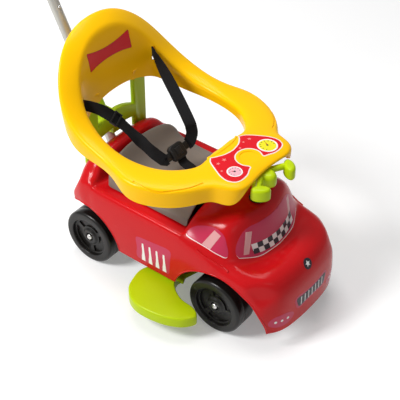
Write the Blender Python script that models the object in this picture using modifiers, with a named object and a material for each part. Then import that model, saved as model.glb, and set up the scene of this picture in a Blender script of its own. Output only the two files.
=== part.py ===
"""A child's foot-to-floor ride-on car with a guard ring, a harness and a parent's push handle.

Metres, +Z up, the front towards -Y, X the car's axis of symmetry.
The wheelbase's middle is the frame that every size below is given in. One empty holds
that frame, and stands so far along Y that the whole model's box is centred on the origin.
"""
from math import atan, cos, pi, radians, sin, tan

import bmesh
import bpy
from mathutils import Matrix, Vector

# Clearances
GAP = 0.0003
RUNNING = 0.0006
SWING = 0.0012

# Wheels and axles
WHEEL_R = 0.062
WHEEL_WIDTH = 0.052
WHEEL_FACE_X = 0.1385
WHEELBASE = 0.334
AXLE_R = 0.004
FRONT_Y = -WHEELBASE / 2
REAR_Y = WHEELBASE / 2
HUB_RECESS = 0.005
CAP_R = 0.0065
CAP_LENGTH = 0.0075

# Body shell
WALL = 0.003
FLANK_OUT = 0.008
BODY_HALF = 0.1325
SILL_Z = 0.0735
NOSE_RIM_Z = 0.037
TAIL_RIM_Z = 0.137
PLATEAU_Z = 0.200
NOSE_Y = -0.299
TAIL_Y = 0.219
FRONT_ARCH_R = 0.107
FRONT_ARCH_Z = 0.0385
FRONT_ARCH_Y = FRONT_Y - 0.0035
REAR_ARCH_R = 0.089
ACROSS = (0.0, 0.62, 0.86, 1.0)

# Seat lid and the bin below it
SEAT_HALF = 0.108
SEAT_FRONT_Y = -0.0755
SEAT_REAR_Y = 0.1445
SEAT_WALL = 0.003
SKIRT_Z = PLATEAU_Z + 0.0036
STRAP_SLOT_Y = -0.018
STRAP_SLOT = 0.006
LID_PIVOT_Y = -0.064
LID_PIVOT_Z = 0.229
PIN_R = 0.002
BIN_HALF = 0.080
BIN_FRONT_Y = -0.058
BIN_REAR_Y = 0.100
BIN_FLOOR_Z = 0.090
BIN_WALL = 0.0025
BIN_FLANGE = 0.007
EAR_X = 0.050
EAR_WIDTH = 0.006

# Chassis
FLOOR_INSET = 0.0065
FLOOR_HALF = BODY_HALF - FLOOR_INSET
FLOOR_FRONT_Y = -0.058
FLOOR_REAR_Y = 0.100
FLOOR_THICK = 0.006
FLOOR_Z = SILL_Z + GAP
TONGUE_HALF = 0.036
TONGUE_THICK = 0.008
HANGER_X = 0.066
HANGER_WIDTH = 0.014
HANGER_LENGTH = 0.036
HANGER_TOP_Z = 0.112
SOCKET_HALF = 0.019
BOSS_INSET = 0.0225
BOSS_FLOOR_ROOM = 0.046
BOSS_WHEEL_ROOM = 0.017
BOSS_X = BODY_HALF - BOSS_INSET
BOSS_YS = (FLOOR_FRONT_Y + BOSS_FLOOR_ROOM, REAR_Y - WHEEL_R - BOSS_WHEEL_ROOM)
BOSS_R = 0.006
SCREW_R = 0.002
SCREW_LENGTH = 0.024
SCREW_HEAD_R = 0.0038
SCREW_HEAD_THICK = 0.0025

# Steering
COLUMN_R = 0.007
COLUMN_TOP_Z = 0.2850
COLUMN_FOOT_Z = 0.066
YOKE_HALF = 0.083
YOKE_BOTTOM_Z = 0.051
YOKE_TOP_Z = 0.0785
YOKE_DEPTH = 0.024
YOKE_BOSS_R = 0.015
TONGUE_BOTTOM_Z = YOKE_TOP_Z + RUNNING
HUB_BOTTOM_Z = 0.2558
HUB_NECK_Z = 0.295
HUB_TOP_Z = 0.3255
HUB_HALF = 0.0130
HUB_DEPTH = 0.018
HUB_Y = -0.172
LEAF_HALF = 0.018
LEAF_DEPTH = 0.0290
LEAF_Y = -0.177
BAR_Z = 0.3185
BAR_Y = -0.176
BAR_END_Y = -0.198
BAR_R = 0.0065
GRIP_X = 0.047
GRIP_Y = -0.205
GRIP_LONG = 0.019
GRIP_THICK = 0.0108
GRIP_SWEEP = radians(52)
GRIP_BOTTOM_Z = 0.2965
GRIP_TOP_Z = 0.3250
BUSH_R = 0.0135
BUSH_FLANGE_R = 0.0175
BUSH_Z = 0.2475

# Footrests
PETAL_TOP_Z = 0.0620
PETAL_THICK = 0.026
PETAL_WALL = 0.0035
PIVOT_BOSS_R = 0.013
PETAL_PIVOT_INSET = 0.0275
PETAL_PIVOT_X = BODY_HALF - PETAL_PIVOT_INSET
PETAL_PIVOT_Y = -0.043
CARRIER_INSET = 0.0045
CARRIER_HALF = BODY_HALF - CARRIER_INSET
CARRIER_THICK = SILL_Z - PETAL_TOP_Z - SWING
CARRIER_FRONT_Y = -0.098
CARRIER_NOSE_HALF = 0.048
CARRIER_KNEE = (0.070, -0.0865)
CARRIER_WAIST = (0.112, -0.0755)
CARRIER_TIP_Y = -0.0830
CARRIER_REAR_Y = -0.026
PIVOT_R = 0.004
PIVOT_HEAD_R = 0.009
PIVOT_HEAD_THICK = 0.003
PETAL_OUTLINE = (
    (-0.013, 0.049), (0.010, 0.024), (0.017, 0.007), (0.007, -0.010), (-0.019, -0.017),
    (-0.038, -0.033), (-0.052, -0.060), (-0.056, -0.091), (-0.065, -0.108), (-0.077, -0.111),
    (-0.099, -0.093), (-0.115, -0.056), (-0.1205, -0.010), (-0.114, 0.020), (-0.099, 0.040),
    (-0.081, 0.052), (-0.041, 0.061),
)

# Guard ring: the loop's half, from the tray's front over the armrest to the back's middle.
# Each station holds the inner top edge, the outer top edge, and both skirts' depths.
RING_WALL = 0.003
RING_CROWN = 0.005
RING_STATIONS = (
    ((0.000, -0.077, 0.337), (0.000, -0.185, 0.336), 0.014, 0.008),
    ((0.026, -0.075, 0.337), (0.038, -0.188, 0.336), 0.014, 0.008),
    ((0.043, -0.077, 0.336), (0.068, -0.193, 0.336), 0.016, 0.007),
    ((0.056, -0.078, 0.335), (0.091, -0.184, 0.336), 0.018, 0.040),
    ((0.070, -0.078, 0.334), (0.101, -0.158, 0.335), 0.019, 0.042),
    ((0.086, -0.071, 0.333), (0.107, -0.137, 0.333), 0.020, 0.035),
    ((0.103, -0.055, 0.332), (0.135, -0.119, 0.331), 0.021, 0.038),
    ((0.120, -0.033, 0.332), (0.167, -0.087, 0.330), 0.022, 0.041),
    ((0.130, -0.008, 0.332), (0.191, -0.041, 0.330), 0.022, 0.041),
    ((0.136, 0.022, 0.333), (0.198, 0.003, 0.331), 0.022, 0.041),
    ((0.138, 0.052, 0.335), (0.186, 0.037, 0.334), 0.023, 0.021),
    ((0.136, 0.085, 0.340), (0.178, 0.077, 0.341), 0.026, 0.025),
    ((0.130, 0.120, 0.351), (0.177, 0.122, 0.353), 0.034, 0.035),
    ((0.124, 0.150, 0.371), (0.172, 0.161, 0.373), 0.048, 0.048),
    ((0.116, 0.173, 0.399), (0.160, 0.196, 0.404), 0.068, 0.052),
    ((0.101, 0.191, 0.432), (0.137, 0.222, 0.444), 0.090, 0.070),
    ((0.078, 0.204, 0.461), (0.104, 0.242, 0.477), 0.112, 0.092),
    ((0.043, 0.215, 0.484), (0.059, 0.257, 0.501), 0.126, 0.110),
    ((0.000, 0.218, 0.491), (0.000, 0.261, 0.508), 0.130, 0.116),
)
BACK_LEAN = 0.20
DISH_Y = -0.143
DISH_R = 0.0195
DISH_DEPTH = 0.0035

# Back frame
POST_X = 0.0735
POST_Y = 0.2000
POST_WIDTH = 0.040
POST_DEPTH = 0.012
POST_FOOT_Z = 0.150
POST_TOP_Z = 0.370
BAND_Z = 0.272
BAND_HEIGHT = 0.028
BAND_RISE = 0.020
BAND_DEPTH = 0.013
SOCKET_WALL = 0.003
SOCKET_DEPTH = 0.018
SLEEVE_R = 0.0165
SLEEVE_FROM_Z = 0.248
SLEEVE_TO_Z = 0.340

# Push tube and handle
TUBE_R = 0.011
TUBE_WALL = 0.0012
TUBE_LEAN = atan(0.495)
TUBE_REF_Y = 0.210
TUBE_REF_Z = 0.213
TUBE_FOOT_Z = 0.120
TUBE_JOINT_Z = 0.530
TUBE_TOP_Z = 0.890
SPIGOT_LENGTH = 0.090
BUTTON_Z = 0.489
BUTTON_R = 0.0035
BUTTON_PROUD = 0.0028
BUTTON_TRAVEL = 0.003
LEAF_LENGTH = 0.038
LEAF_WIDTH = 0.0055
LEAF_THICK = 0.0009
HANDLE_R = 0.0145
HANDLE_HALF = 0.085
HANDLE_DROP = 0.004
HANDLE_NECK_R = 0.0165
HANDLE_NECK_LENGTH = 0.050

# Harness
STRAP_WIDTH = 0.024
STRAP_THICK = 0.0018
BUCKLE_Y = 0.034
BUCKLE_Z = 0.271
BUCKLE_TILT = radians(47)
BUCKLE_WIDTH = 0.038
BUCKLE_LENGTH = 0.034
BUCKLE_THICK = 0.012
RELEASE_WIDTH = 0.015
RELEASE_LENGTH = 0.017
RELEASE_PROUD = 0.002
RELEASE_TRAVEL = 0.003
TONGUE_LENGTH = 0.013
TONGUE_HALF = 0.0085
TONGUE_THICK = 0.0044
LEFT_STRAP = ((0.120, 0.206, 0.398), (0.103, 0.175, 0.392), (0.075, 0.102, 0.351),
               (0.049, 0.044, 0.318), (0.0475, 0.035, 0.301), (0.0465, 0.033, 0.288))
RIGHT_STRAP = ((-0.120, 0.196, 0.381), (-0.103, 0.171, 0.378), (-0.088, 0.145, 0.368),
              (-0.070, 0.120, 0.343), (-0.055, 0.088, 0.309), (-0.048, 0.055, 0.286))
UPRIGHT = (0, 0, 1)
BUCKLE_ACROSS = (0, -cos(BUCKLE_TILT), -sin(BUCKLE_TILT))
LEFT_FACE = (0.70, -0.65, 0.25)
LEFT_TURNS = (UPRIGHT, UPRIGHT, LEFT_FACE, LEFT_FACE, LEFT_FACE, (0.35, -0.67, -0.24), BUCKLE_ACROSS)
BUCKLE_UP = (0, cos(BUCKLE_TILT), sin(BUCKLE_TILT))
RIGHT_TURNS = (UPRIGHT, BUCKLE_UP, BUCKLE_UP)
ANCHOR_R = 0.003

# The whole model's box runs from the nose to the push handle
NOSE_FRONT_Y = NOSE_Y - FLANK_OUT
HANDLE_REAR_Y = (TUBE_REF_Y + (TUBE_TOP_Z - TUBE_REF_Z) * tan(TUBE_LEAN)
                 + HANDLE_DROP * sin(TUBE_LEAN) + HANDLE_R)
FRAME_Y = -(NOSE_FRONT_Y + HANDLE_REAR_Y) / 2

# Body rows from nose to tail: y, half width, how far the row's ends lie behind its middle,
# the power of that curve, and the heights at the places ACROSS
BODY_ROWS = (
    (NOSE_Y, 0.117, 0.036, 4, (0.137, 0.136, 0.131, 0.121)),
    (NOSE_Y + 0.016, 0.1235, 0.037, 4, (0.161, 0.159, 0.154, 0.142)),
    (-0.254, 0.1285, 0.026, 3, (0.167, 0.166, 0.163, 0.153)),
    (-0.231, 0.131, 0.043, 2, (0.161, 0.166, 0.171, 0.160)),
    (-0.2155, 0.132, 0.043, 2, (0.187, 0.184, 0.179, 0.165)),
    (-0.200, 0.132, 0.038, 2, (0.232, 0.220, 0.189, 0.171)),
    (-0.180, 0.132, 0.026, 2, (0.2485, 0.243, 0.200, 0.174)),
    (-0.145, BODY_HALF, 0.010, 2, (0.2495, 0.245, 0.207, 0.182)),
    (-0.089, BODY_HALF, 0.0, 2, (0.245, 0.234, 0.208, 0.196)),
    (-0.079, BODY_HALF, 0.0, 2, (0.203, 0.203, PLATEAU_Z, 0.199)),
    (-0.035, BODY_HALF, 0.0, 2, (PLATEAU_Z, PLATEAU_Z, PLATEAU_Z, 0.200)),
    (0.105, BODY_HALF, 0.0, 2, (PLATEAU_Z, PLATEAU_Z, PLATEAU_Z, 0.200)),
    (0.148, 0.131, 0.0, 2, (0.203, 0.203, 0.203, 0.201)),
    (0.157, 0.130, 0.0, 2, (0.247, 0.244, 0.215, 0.206)),
    (0.183, 0.128, -0.004, 4, (0.250, 0.245, 0.223, 0.206)),
    (0.204, 0.124, -0.009, 4, (0.228, 0.222, 0.208, 0.195)),
    (TAIL_Y, 0.118, -0.015, 4, (0.188, 0.185, 0.180, 0.172)),
)
BODY_RINGS = ((0.0058, 0.20), (FLANK_OUT, 0.60), (0.0060, 1.0))


def clear_scene():
    for item in list(bpy.data.objects):
        bpy.data.objects.remove(item, do_unlink=True)


def collection(name):
    made = bpy.data.collections.new(name)
    bpy.context.scene.collection.children.link(made)
    return made


clear_scene()
PIECES = collection("ride_on_car")
CUTTERS = collection("cutters")
MATERIALS = {}

CAR = bpy.data.objects.new("car_frame", None)
CAR.location = (0.0, FRAME_Y, 0.0)
PIECES.objects.link(CAR)


def material(name, colour, roughness, metallic=0.0):
    if name not in MATERIALS:
        made = bpy.data.materials.new(name)
        made.use_nodes = True
        shader = made.node_tree.nodes["Principled BSDF"]
        shader.inputs["Base Color"].default_value = (*colour, 1.0)
        shader.inputs["Roughness"].default_value = roughness
        shader.inputs["Metallic"].default_value = metallic
        made.diffuse_color = (*colour, 1.0)
        MATERIALS[name] = made
    return MATERIALS[name]


RED = material("red_plastic", (0.60, 0.008, 0.012), 0.30)
YELLOW = material("yellow_plastic", (1.0, 0.60, 0.0), 0.30)
LIME = material("lime_plastic", (0.50, 0.62, 0.005), 0.35)
GREY = material("grey_plastic", (0.26, 0.23, 0.20), 0.45)
BLACK = material("black_plastic", (0.012, 0.012, 0.012), 0.40)
STEEL = material("steel", (0.62, 0.62, 0.60), 0.28, 1.0)
WEBBING = material("black_webbing", (0.010, 0.010, 0.010), 0.85)


def place(name, mesh, finish, home=PIECES, location=(0, 0, 0), rotation=(0, 0, 0), parent=None):
    made = bpy.data.objects.new(name, mesh)
    home.objects.link(made)
    made.parent = parent or CAR
    made.location = location
    made.rotation_euler = rotation
    if finish:
        mesh.materials.append(finish)
    if home is CUTTERS:
        made.hide_render = True
        made.display_type = "WIRE"
    return made


def smooth(item, angle=35):
    item.data.shade_smooth()
    item.data.set_sharp_from_angle(angle=radians(angle))
    return item


def mesh_from(bm, name):
    bmesh.ops.recalc_face_normals(bm, faces=bm.faces)
    mesh = bpy.data.meshes.new(name)
    bm.to_mesh(mesh)
    bm.free()
    return mesh


def box_mesh(name, low, high):
    bm = bmesh.new()
    bmesh.ops.create_cube(bm, size=1.0)
    size = [b - a for a, b in zip(low, high)]
    middle = [(a + b) / 2 for a, b in zip(low, high)]
    bmesh.ops.scale(bm, vec=size, verts=bm.verts)
    bmesh.ops.translate(bm, vec=middle, verts=bm.verts)
    return mesh_from(bm, name)


def cylinder_mesh(name, radius, start, end, segments=24, end_radius=None):
    bm = bmesh.new()
    way = Vector(end) - Vector(start)
    middle = (Vector(end) + Vector(start)) / 2
    turn = way.to_track_quat("Z", "Y").to_matrix().to_4x4()
    top = radius if end_radius is None else end_radius
    bmesh.ops.create_cone(bm, cap_ends=True, segments=segments, radius1=radius, radius2=top,
                          depth=way.length, matrix=Matrix.Translation(middle) @ turn)
    return mesh_from(bm, name)


def turned(name, profile, finish, steps=24, **where):
    """A closed profile of (radius, height), down its outer side first, turned about Z."""
    bm = bmesh.new()
    points = [bm.verts.new((radius, 0.0, height)) for radius, height in profile]
    for k, point in enumerate(points):
        if k or profile[0][0] > 0.0:
            bm.edges.new((points[k - 1], point))
    mesh = bpy.data.meshes.new(name)
    bm.to_mesh(mesh)
    bm.free()
    item = place(name, mesh, finish, **where)
    screw = item.modifiers.new("turn", "SCREW")
    screw.steps = steps
    screw.render_steps = steps
    screw.use_merge_vertices = True
    screw.merge_threshold = 1e-5
    return item


def cut(item, cutter, operation="DIFFERENCE"):
    step = item.modifiers.new(operation.lower(), "BOOLEAN")
    step.operation = operation
    step.object = cutter
    return item


def bevel(item, width, segments=2, angle=30):
    step = item.modifiers.new("edges", "BEVEL")
    step.width = width
    step.segments = segments
    step.limit_method = "ANGLE"
    step.angle_limit = radians(angle)
    return item


def cut_box(item, label, low, high, operation="DIFFERENCE", **where):
    mesh = box_mesh(label, low, high)
    return cut(item, place(f"{item.name}_{label}", mesh, None, CUTTERS, **where), operation)


def cut_cylinder(item, label, radius, start, end, operation="DIFFERENCE", segments=24, **where):
    mesh = cylinder_mesh(label, radius, start, end, segments)
    return cut(item, place(f"{item.name}_{label}", mesh, None, CUTTERS, **where), operation)


def prism(name, outline, low, high, finish, home=PIECES, **where):
    """A flat outline in X and Y, thickened from low to high."""
    bm = bmesh.new()
    base = [bm.verts.new((x, y, low)) for x, y in outline]
    face = bm.faces.new(base)
    grown = bmesh.ops.extrude_face_region(bm, geom=[face])
    lifted = [part for part in grown["geom"] if isinstance(part, bmesh.types.BMVert)]
    bmesh.ops.translate(bm, vec=(0, 0, high - low), verts=lifted)
    return place(name, mesh_from(bm, name), finish, home, **where)


def curve_through(points, count, closed=False):
    """Even steps along a Catmull-Rom curve through the points."""
    points = [Vector(p) for p in points]
    last = len(points)
    spans = last if closed else last - 1
    found = []
    for k in range(count):
        at = k * spans / (count if closed else count - 1)
        i = min(int(at), spans - 1)
        t = at - i
        if closed:
            a, b, c, d = (points[(i + n) % last] for n in (-1, 0, 1, 2))
        else:
            a, b, c, d = (points[min(max(i + n, 0), last - 1)] for n in (-1, 0, 1, 2))
        found.append(0.5 * (2 * b + (c - a) * t + (2 * a - 5 * b + 4 * c - d) * t * t
                            + (3 * b - a - 3 * c + d) * t ** 3))
    return found


def grid_faces(bm, rows, closed=False):
    last = len(rows) if closed else len(rows) - 1
    for i in range(last):
        near, far = rows[i], rows[(i + 1) % len(rows)]
        for j in range(len(near) - 1):
            bm.faces.new((near[j], near[j + 1], far[j + 1], far[j]))


def solidify(item, thickness):
    step = item.modifiers.new("wall", "SOLIDIFY")
    step.thickness = thickness
    step.offset = -1.0
    step.use_even_offset = True
    return item


def subdivide(item, levels):
    step = item.modifiers.new("smooth", "SUBSURF")
    step.levels = levels
    step.render_levels = levels
    return item


def settle(bm, rounds):
    """Moves a cage's vertices out, so that its smooth surface comes back towards them."""
    goals = {vert: vert.co.copy() for vert in bm.verts}
    for _ in range(rounds):
        landed = {}
        for vert in bm.verts:
            if vert.is_boundary:
                ends = [edge.other_vert(vert).co for edge in vert.link_edges if edge.is_boundary]
                landed[vert] = (vert.co * 4 + ends[0] + ends[1]) / 6
                continue
            n = len(vert.link_edges)
            faces = sum((face.calc_center_median() for face in vert.link_faces), Vector())
            others = sum((edge.other_vert(vert).co for edge in vert.link_edges), Vector())
            first = (faces / n + vert.co + others / n + (n - 3) * vert.co) / n
            landed[vert] = (n * n * first + n * vert.co + others + 3 * faces) / (n * (n + 5))
        for vert, spot in landed.items():
            vert.co += goals[vert] - spot


def tube_point(z, off_front=0.0):
    """A point of the push tube's axis at a height, moved off towards the tube's front."""
    y = TUBE_REF_Y + (z - TUBE_REF_Z) * tan(TUBE_LEAN)
    return Vector((0.0, y - off_front * cos(TUBE_LEAN), z + off_front * sin(TUBE_LEAN)))


def rim_height(y):
    if y < FRONT_Y + 0.005:
        return NOSE_RIM_Z
    return SILL_Z if y < REAR_Y else TAIL_RIM_Z


def body_cage(rows):
    """The shell's open cage: a grid over the top and four rings hanging from its edge."""
    bm = bmesh.new()
    shares = [-f for f in reversed(ACROSS[1:])] + list(ACROSS)
    top = []
    for y, half, lag, power, heights in rows:
        levels = list(reversed(heights[1:])) + list(heights)
        top.append([bm.verts.new((f * half, y + lag * abs(f) ** power, z))
                    for f, z in zip(shares, levels)])
    grid_faces(bm, top)
    edge = top[0][:-1] + [row[-1] for row in top[:-1]] + top[-1][:0:-1] + [row[0] for row in top[:0:-1]]
    corners = {top[0][0], top[0][-1], top[-1][0], top[-1][-1]}
    above = edge
    for out, share in BODY_RINGS:
        ring = []
        for k, vert in enumerate(edge):
            x, y, z = vert.co
            before, after = edge[k - 1].co, edge[(k + 1) % len(edge)].co
            along = after - before
            normal = Vector((along.y, -along.x, 0.0)).normalized()
            reach = out * (1.4 if vert in corners else 1.0)
            floor = rim_height(y)
            ring.append(bm.verts.new((x + normal.x * reach, y + normal.y * reach,
                                      z + (floor - z) * share)))
        for k in range(len(edge)):
            n = (k + 1) % len(edge)
            bm.faces.new((above[k], above[n], ring[n], ring[k]))
        above = ring
    settle(bm, 2)
    return mesh_from(bm, "body_shell")


def post_cutter(item, side, grow, low, high):
    x, half = side * POST_X, POST_WIDTH / 2 + grow
    deep = POST_DEPTH / 2 + grow
    return cut_box(item, f"post_{'r' if side < 0 else 'l'}", (x - half, POST_Y - deep, low),
                   (x + half, POST_Y + deep, high))


def make_body_shell():
    item = place("body_shell", body_cage(BODY_ROWS), RED)
    subdivide(item, 1)
    solidify(item, WALL)
    far = BODY_HALF + FLANK_OUT + 0.02
    cut_cylinder(item, "front_arch", FRONT_ARCH_R, (-far, FRONT_ARCH_Y, FRONT_ARCH_Z),
                 (far, FRONT_ARCH_Y, FRONT_ARCH_Z), segments=36)
    cut_cylinder(item, "rear_arch", REAR_ARCH_R, (-far, REAR_Y, WHEEL_R), (far, REAR_Y, WHEEL_R),
                 segments=36)
    cut_box(item, "seat_opening", (-BIN_HALF - GAP, BIN_FRONT_Y - GAP, PLATEAU_Z - 0.02),
            (BIN_HALF + GAP, BIN_REAR_Y + GAP, PLATEAU_Z + 0.02))
    cut_cylinder(item, "column_hole", BUSH_R + GAP, (0, FRONT_Y, 0.2), (0, FRONT_Y, 0.3))
    cut_cylinder(item, "tube_hole", TUBE_R + RUNNING, tube_point(0.13), tube_point(0.30))
    for side in (-1, 1):
        half, deep = POST_WIDTH / 2 + SOCKET_WALL, POST_DEPTH / 2 + SOCKET_WALL
        cut_box(item, f"socket_{side}", (side * POST_X - half, POST_Y - deep, POST_FOOT_Z - SOCKET_WALL),
                (side * POST_X + half, POST_Y + deep - 0.0005, 0.184), "UNION")
        post_cutter(item, side, GAP, POST_FOOT_Z - GAP, POST_TOP_Z)
        for k, y in enumerate(BOSS_YS):
            x = side * BOSS_X
            tag = f"{'r' if side < 0 else 'l'}{k}"
            cut_cylinder(item, f"boss_{tag}", BOSS_R, (x, y, FLOOR_Z + FLOOR_THICK + GAP),
                         (x, y, PLATEAU_Z - WALL / 2), "UNION", 12)
            cut_cylinder(item, f"pilot_{tag}", SCREW_R + GAP / 2, (x, y, FLOOR_Z),
                         (x, y, FLOOR_Z + SCREW_LENGTH + 0.004), segments=12)
    return smooth(item)


def seat_cage():
    """The lid's open cage: raised at both ends, open where its front edge meets the cowl."""
    rows = (
        (SEAT_FRONT_Y, (0.244, 0.244, 0.240, 0.222)),
        (SEAT_FRONT_Y + 0.014, (0.241, 0.240, 0.236, 0.220)),
        (-0.030, (0.224, 0.224, 0.223, 0.216)),
        (0.020, (0.218, 0.218, 0.218, 0.213)),
        (0.070, (0.220, 0.220, 0.220, 0.215)),
        (0.108, (0.230, 0.230, 0.229, 0.222)),
        (0.130, (0.252, 0.251, 0.247, 0.236)),
        (SEAT_REAR_Y - 0.004, (0.258, 0.257, 0.252, 0.240)),
    )
    shares = (0.0, 0.45, 0.82, 1.0)
    narrow = SEAT_HALF - 0.012
    bm = bmesh.new()
    top = []
    for y, heights in rows:
        line = []
        places = [-s for s in reversed(shares[1:])] + list(shares)
        for f, z in zip(places, list(reversed(heights[1:])) + list(heights)):
            line.append(bm.verts.new((f * narrow, y - 0.012 * f * f * (y > 0.12), z)))
        top.append(line)
    grid_faces(bm, top)
    edge = [row[0] for row in top] + top[-1][1:-1] + [row[-1] for row in reversed(top)]
    above = edge
    for out, share in ((0.008, 0.25), (0.012, 1.0)):
        ring = []
        for k, vert in enumerate(edge):
            before = edge[max(k - 1, 0)].co
            after = edge[min(k + 1, len(edge) - 1)].co
            along = after - before
            normal = Vector((-along.y, along.x, 0.0)).normalized()
            back = 0.35 if vert.co.y > 0.12 and abs(normal.y) > 0.5 else 1.0
            ring.append(bm.verts.new((vert.co.x + normal.x * out, vert.co.y + normal.y * out * back,
                                      vert.co.z + (SKIRT_Z - vert.co.z) * share)))
        for k in range(len(edge) - 1):
            bm.faces.new((above[k], above[k + 1], ring[k + 1], ring[k]))
        above = ring
    settle(bm, 1)
    return mesh_from(bm, "seat_lid")


def make_seat_lid():
    hinge = (0.0, LID_PIVOT_Y, LID_PIVOT_Z)
    mesh = seat_cage()
    mesh.transform(Matrix.Translation(-Vector(hinge)))
    item = place("seat_lid", mesh, GREY, location=hinge)
    subdivide(item, 1)
    solidify(item, SEAT_WALL)
    for side in (-1, 1):
        tag = "r" if side < 0 else "l"
        inner = EAR_X + EAR_WIDTH / 2 + RUNNING
        low, high = sorted((side * inner, side * (inner + EAR_WIDTH)))
        cut_box(item, f"lug_{tag}", (low, -0.005, -0.005), (high, 0.006, 0.0095), "UNION", location=hinge)
        cut_cylinder(item, f"bore_{tag}", PIN_R + GAP, (side * (EAR_X - 0.01), 0, 0),
                     (side * (EAR_X + 0.012), 0, 0), segments=12, location=hinge)
    half, middle = STRAP_WIDTH / 2 + 0.002, STRAP_SLOT_Y - LID_PIVOT_Y
    cut_box(item, "strap_slot", (-half, middle - STRAP_SLOT / 2, -0.05),
            (half, middle + STRAP_SLOT, 0.05), location=hinge)
    return smooth(item)


def make_toy_bin():
    top = PLATEAU_Z + 0.0012
    item = place("toy_bin", box_mesh("toy_bin", (-BIN_HALF + GAP, BIN_FRONT_Y + GAP, BIN_FLOOR_Z),
                                     (BIN_HALF - GAP, BIN_REAR_Y - GAP, top)), BLACK)
    reach = BIN_FLANGE
    cut_box(item, "flange", (-BIN_HALF - reach, BIN_FRONT_Y - reach, PLATEAU_Z + GAP),
            (BIN_HALF + reach, BIN_REAR_Y + reach, top), "UNION")
    inner = BIN_WALL
    cut_box(item, "hollow", (-BIN_HALF + inner, BIN_FRONT_Y + inner, BIN_FLOOR_Z + inner),
            (BIN_HALF - inner, BIN_REAR_Y - inner, top + 0.02))
    cut_box(item, "bridge", (-BIN_HALF + inner / 2, STRAP_SLOT_Y - 0.006, top - 0.005),
            (BIN_HALF - inner / 2, STRAP_SLOT_Y + 0.006, top), "UNION")
    for side in (-1, 1):
        tag = "r" if side < 0 else "l"
        low, high = side * EAR_X - EAR_WIDTH / 2, side * EAR_X + EAR_WIDTH / 2
        cut_box(item, f"ear_{tag}", (low, LID_PIVOT_Y - 0.0045, PLATEAU_Z + 0.0008),
                (high, LID_PIVOT_Y + 0.0055, LID_PIVOT_Z + 0.0045), "UNION")
        cut_cylinder(item, f"bore_{tag}", PIN_R + GAP, (low - 0.01, LID_PIVOT_Y, LID_PIVOT_Z),
                     (high + 0.01, LID_PIVOT_Y, LID_PIVOT_Z), segments=12)
    return smooth(item)


def make_lid_pins():
    for side, name in ((-1, "lid_pin_right"), (1, "lid_pin_left")):
        inner = side * (EAR_X - EAR_WIDTH / 2 - 0.001)
        outer = side * (EAR_X + EAR_WIDTH * 1.5 + RUNNING + 0.001)
        mesh = cylinder_mesh(name, PIN_R, (inner, 0, 0), (outer, 0, 0), 12)
        smooth(place(name, mesh, STEEL, location=(0, LID_PIVOT_Y, LID_PIVOT_Z)))


def make_chassis():
    top = FLOOR_Z + FLOOR_THICK
    near, far = REAR_Y - HANGER_LENGTH / 2, REAR_Y + HANGER_LENGTH / 2
    deck = HANGER_X + HANGER_WIDTH / 2 - 0.001
    half_outline = ((FLOOR_HALF, FLOOR_FRONT_Y), (FLOOR_HALF, FLOOR_REAR_Y), (deck, FLOOR_REAR_Y),
                    (deck, far - 0.001))
    outline = half_outline + tuple((-x, y) for x, y in reversed(half_outline))
    item = prism("chassis", outline, FLOOR_Z, top, BLACK)
    cut_box(item, "tongue", (-TONGUE_HALF, FRONT_Y - 0.026, TONGUE_BOTTOM_Z),
            (TONGUE_HALF, FLOOR_FRONT_Y + 0.02, TONGUE_BOTTOM_Z + TONGUE_THICK), "UNION")
    cut_box(item, "web", (-0.004, FLOOR_FRONT_Y - 0.03, top - 0.001),
            (0.004, FLOOR_REAR_Y + 0.01, top + 0.006), "UNION")
    for side in (-1, 1):
        x, half = side * HANGER_X, HANGER_WIDTH / 2
        tag = "r" if side < 0 else "l"
        cut_box(item, f"hanger_{tag}", (x - half, near, WHEEL_R - 0.012),
                (x + half, far, HANGER_TOP_Z), "UNION")
    cut_box(item, "tube_block", (-SOCKET_HALF, REAR_Y - 0.044, top - 0.001),
            (SOCKET_HALF, REAR_Y + 0.016, TUBE_FOOT_Z + 0.018), "UNION")
    foot = tube_point(TUBE_FOOT_Z) - GAP * Vector((0, sin(TUBE_LEAN), cos(TUBE_LEAN)))
    cut_cylinder(item, "tube_socket", TUBE_R + GAP, foot, tube_point(TUBE_FOOT_Z + 0.05))
    cut_cylinder(item, "axle_bore", AXLE_R + GAP, (-0.1, REAR_Y, WHEEL_R), (0.1, REAR_Y, WHEEL_R),
                 segments=16)
    cut_cylinder(item, "column_bore", COLUMN_R + RUNNING, (0, FRONT_Y, TONGUE_BOTTOM_Z - 0.01),
                 (0, FRONT_Y, TONGUE_BOTTOM_Z + 0.03))
    for side in (-1, 1):
        for k, y in enumerate(BOSS_YS):
            tag = f"{'r' if side < 0 else 'l'}{k}"
            cut_cylinder(item, f"screw_{tag}", SCREW_R + GAP, (side * BOSS_X, y, FLOOR_Z - 0.01),
                         (side * BOSS_X, y, top + 0.01), segments=12)
    return smooth(item)


def make_chassis_screws():
    profile = ((0.0, SCREW_LENGTH), (SCREW_R, SCREW_LENGTH - 0.002), (SCREW_R, 0.0), (SCREW_HEAD_R, 0.0),
               (SCREW_HEAD_R, -SCREW_HEAD_THICK), (0.0, -SCREW_HEAD_THICK - 0.0006))
    for side, hand in ((-1, "right"), (1, "left")):
        for end, y in zip(("front", "rear"), BOSS_YS):
            smooth(turned(f"chassis_screw_{end}_{hand}", profile, STEEL, 10,
                          location=(side * BOSS_X, y, FLOOR_Z - GAP)))


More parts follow.
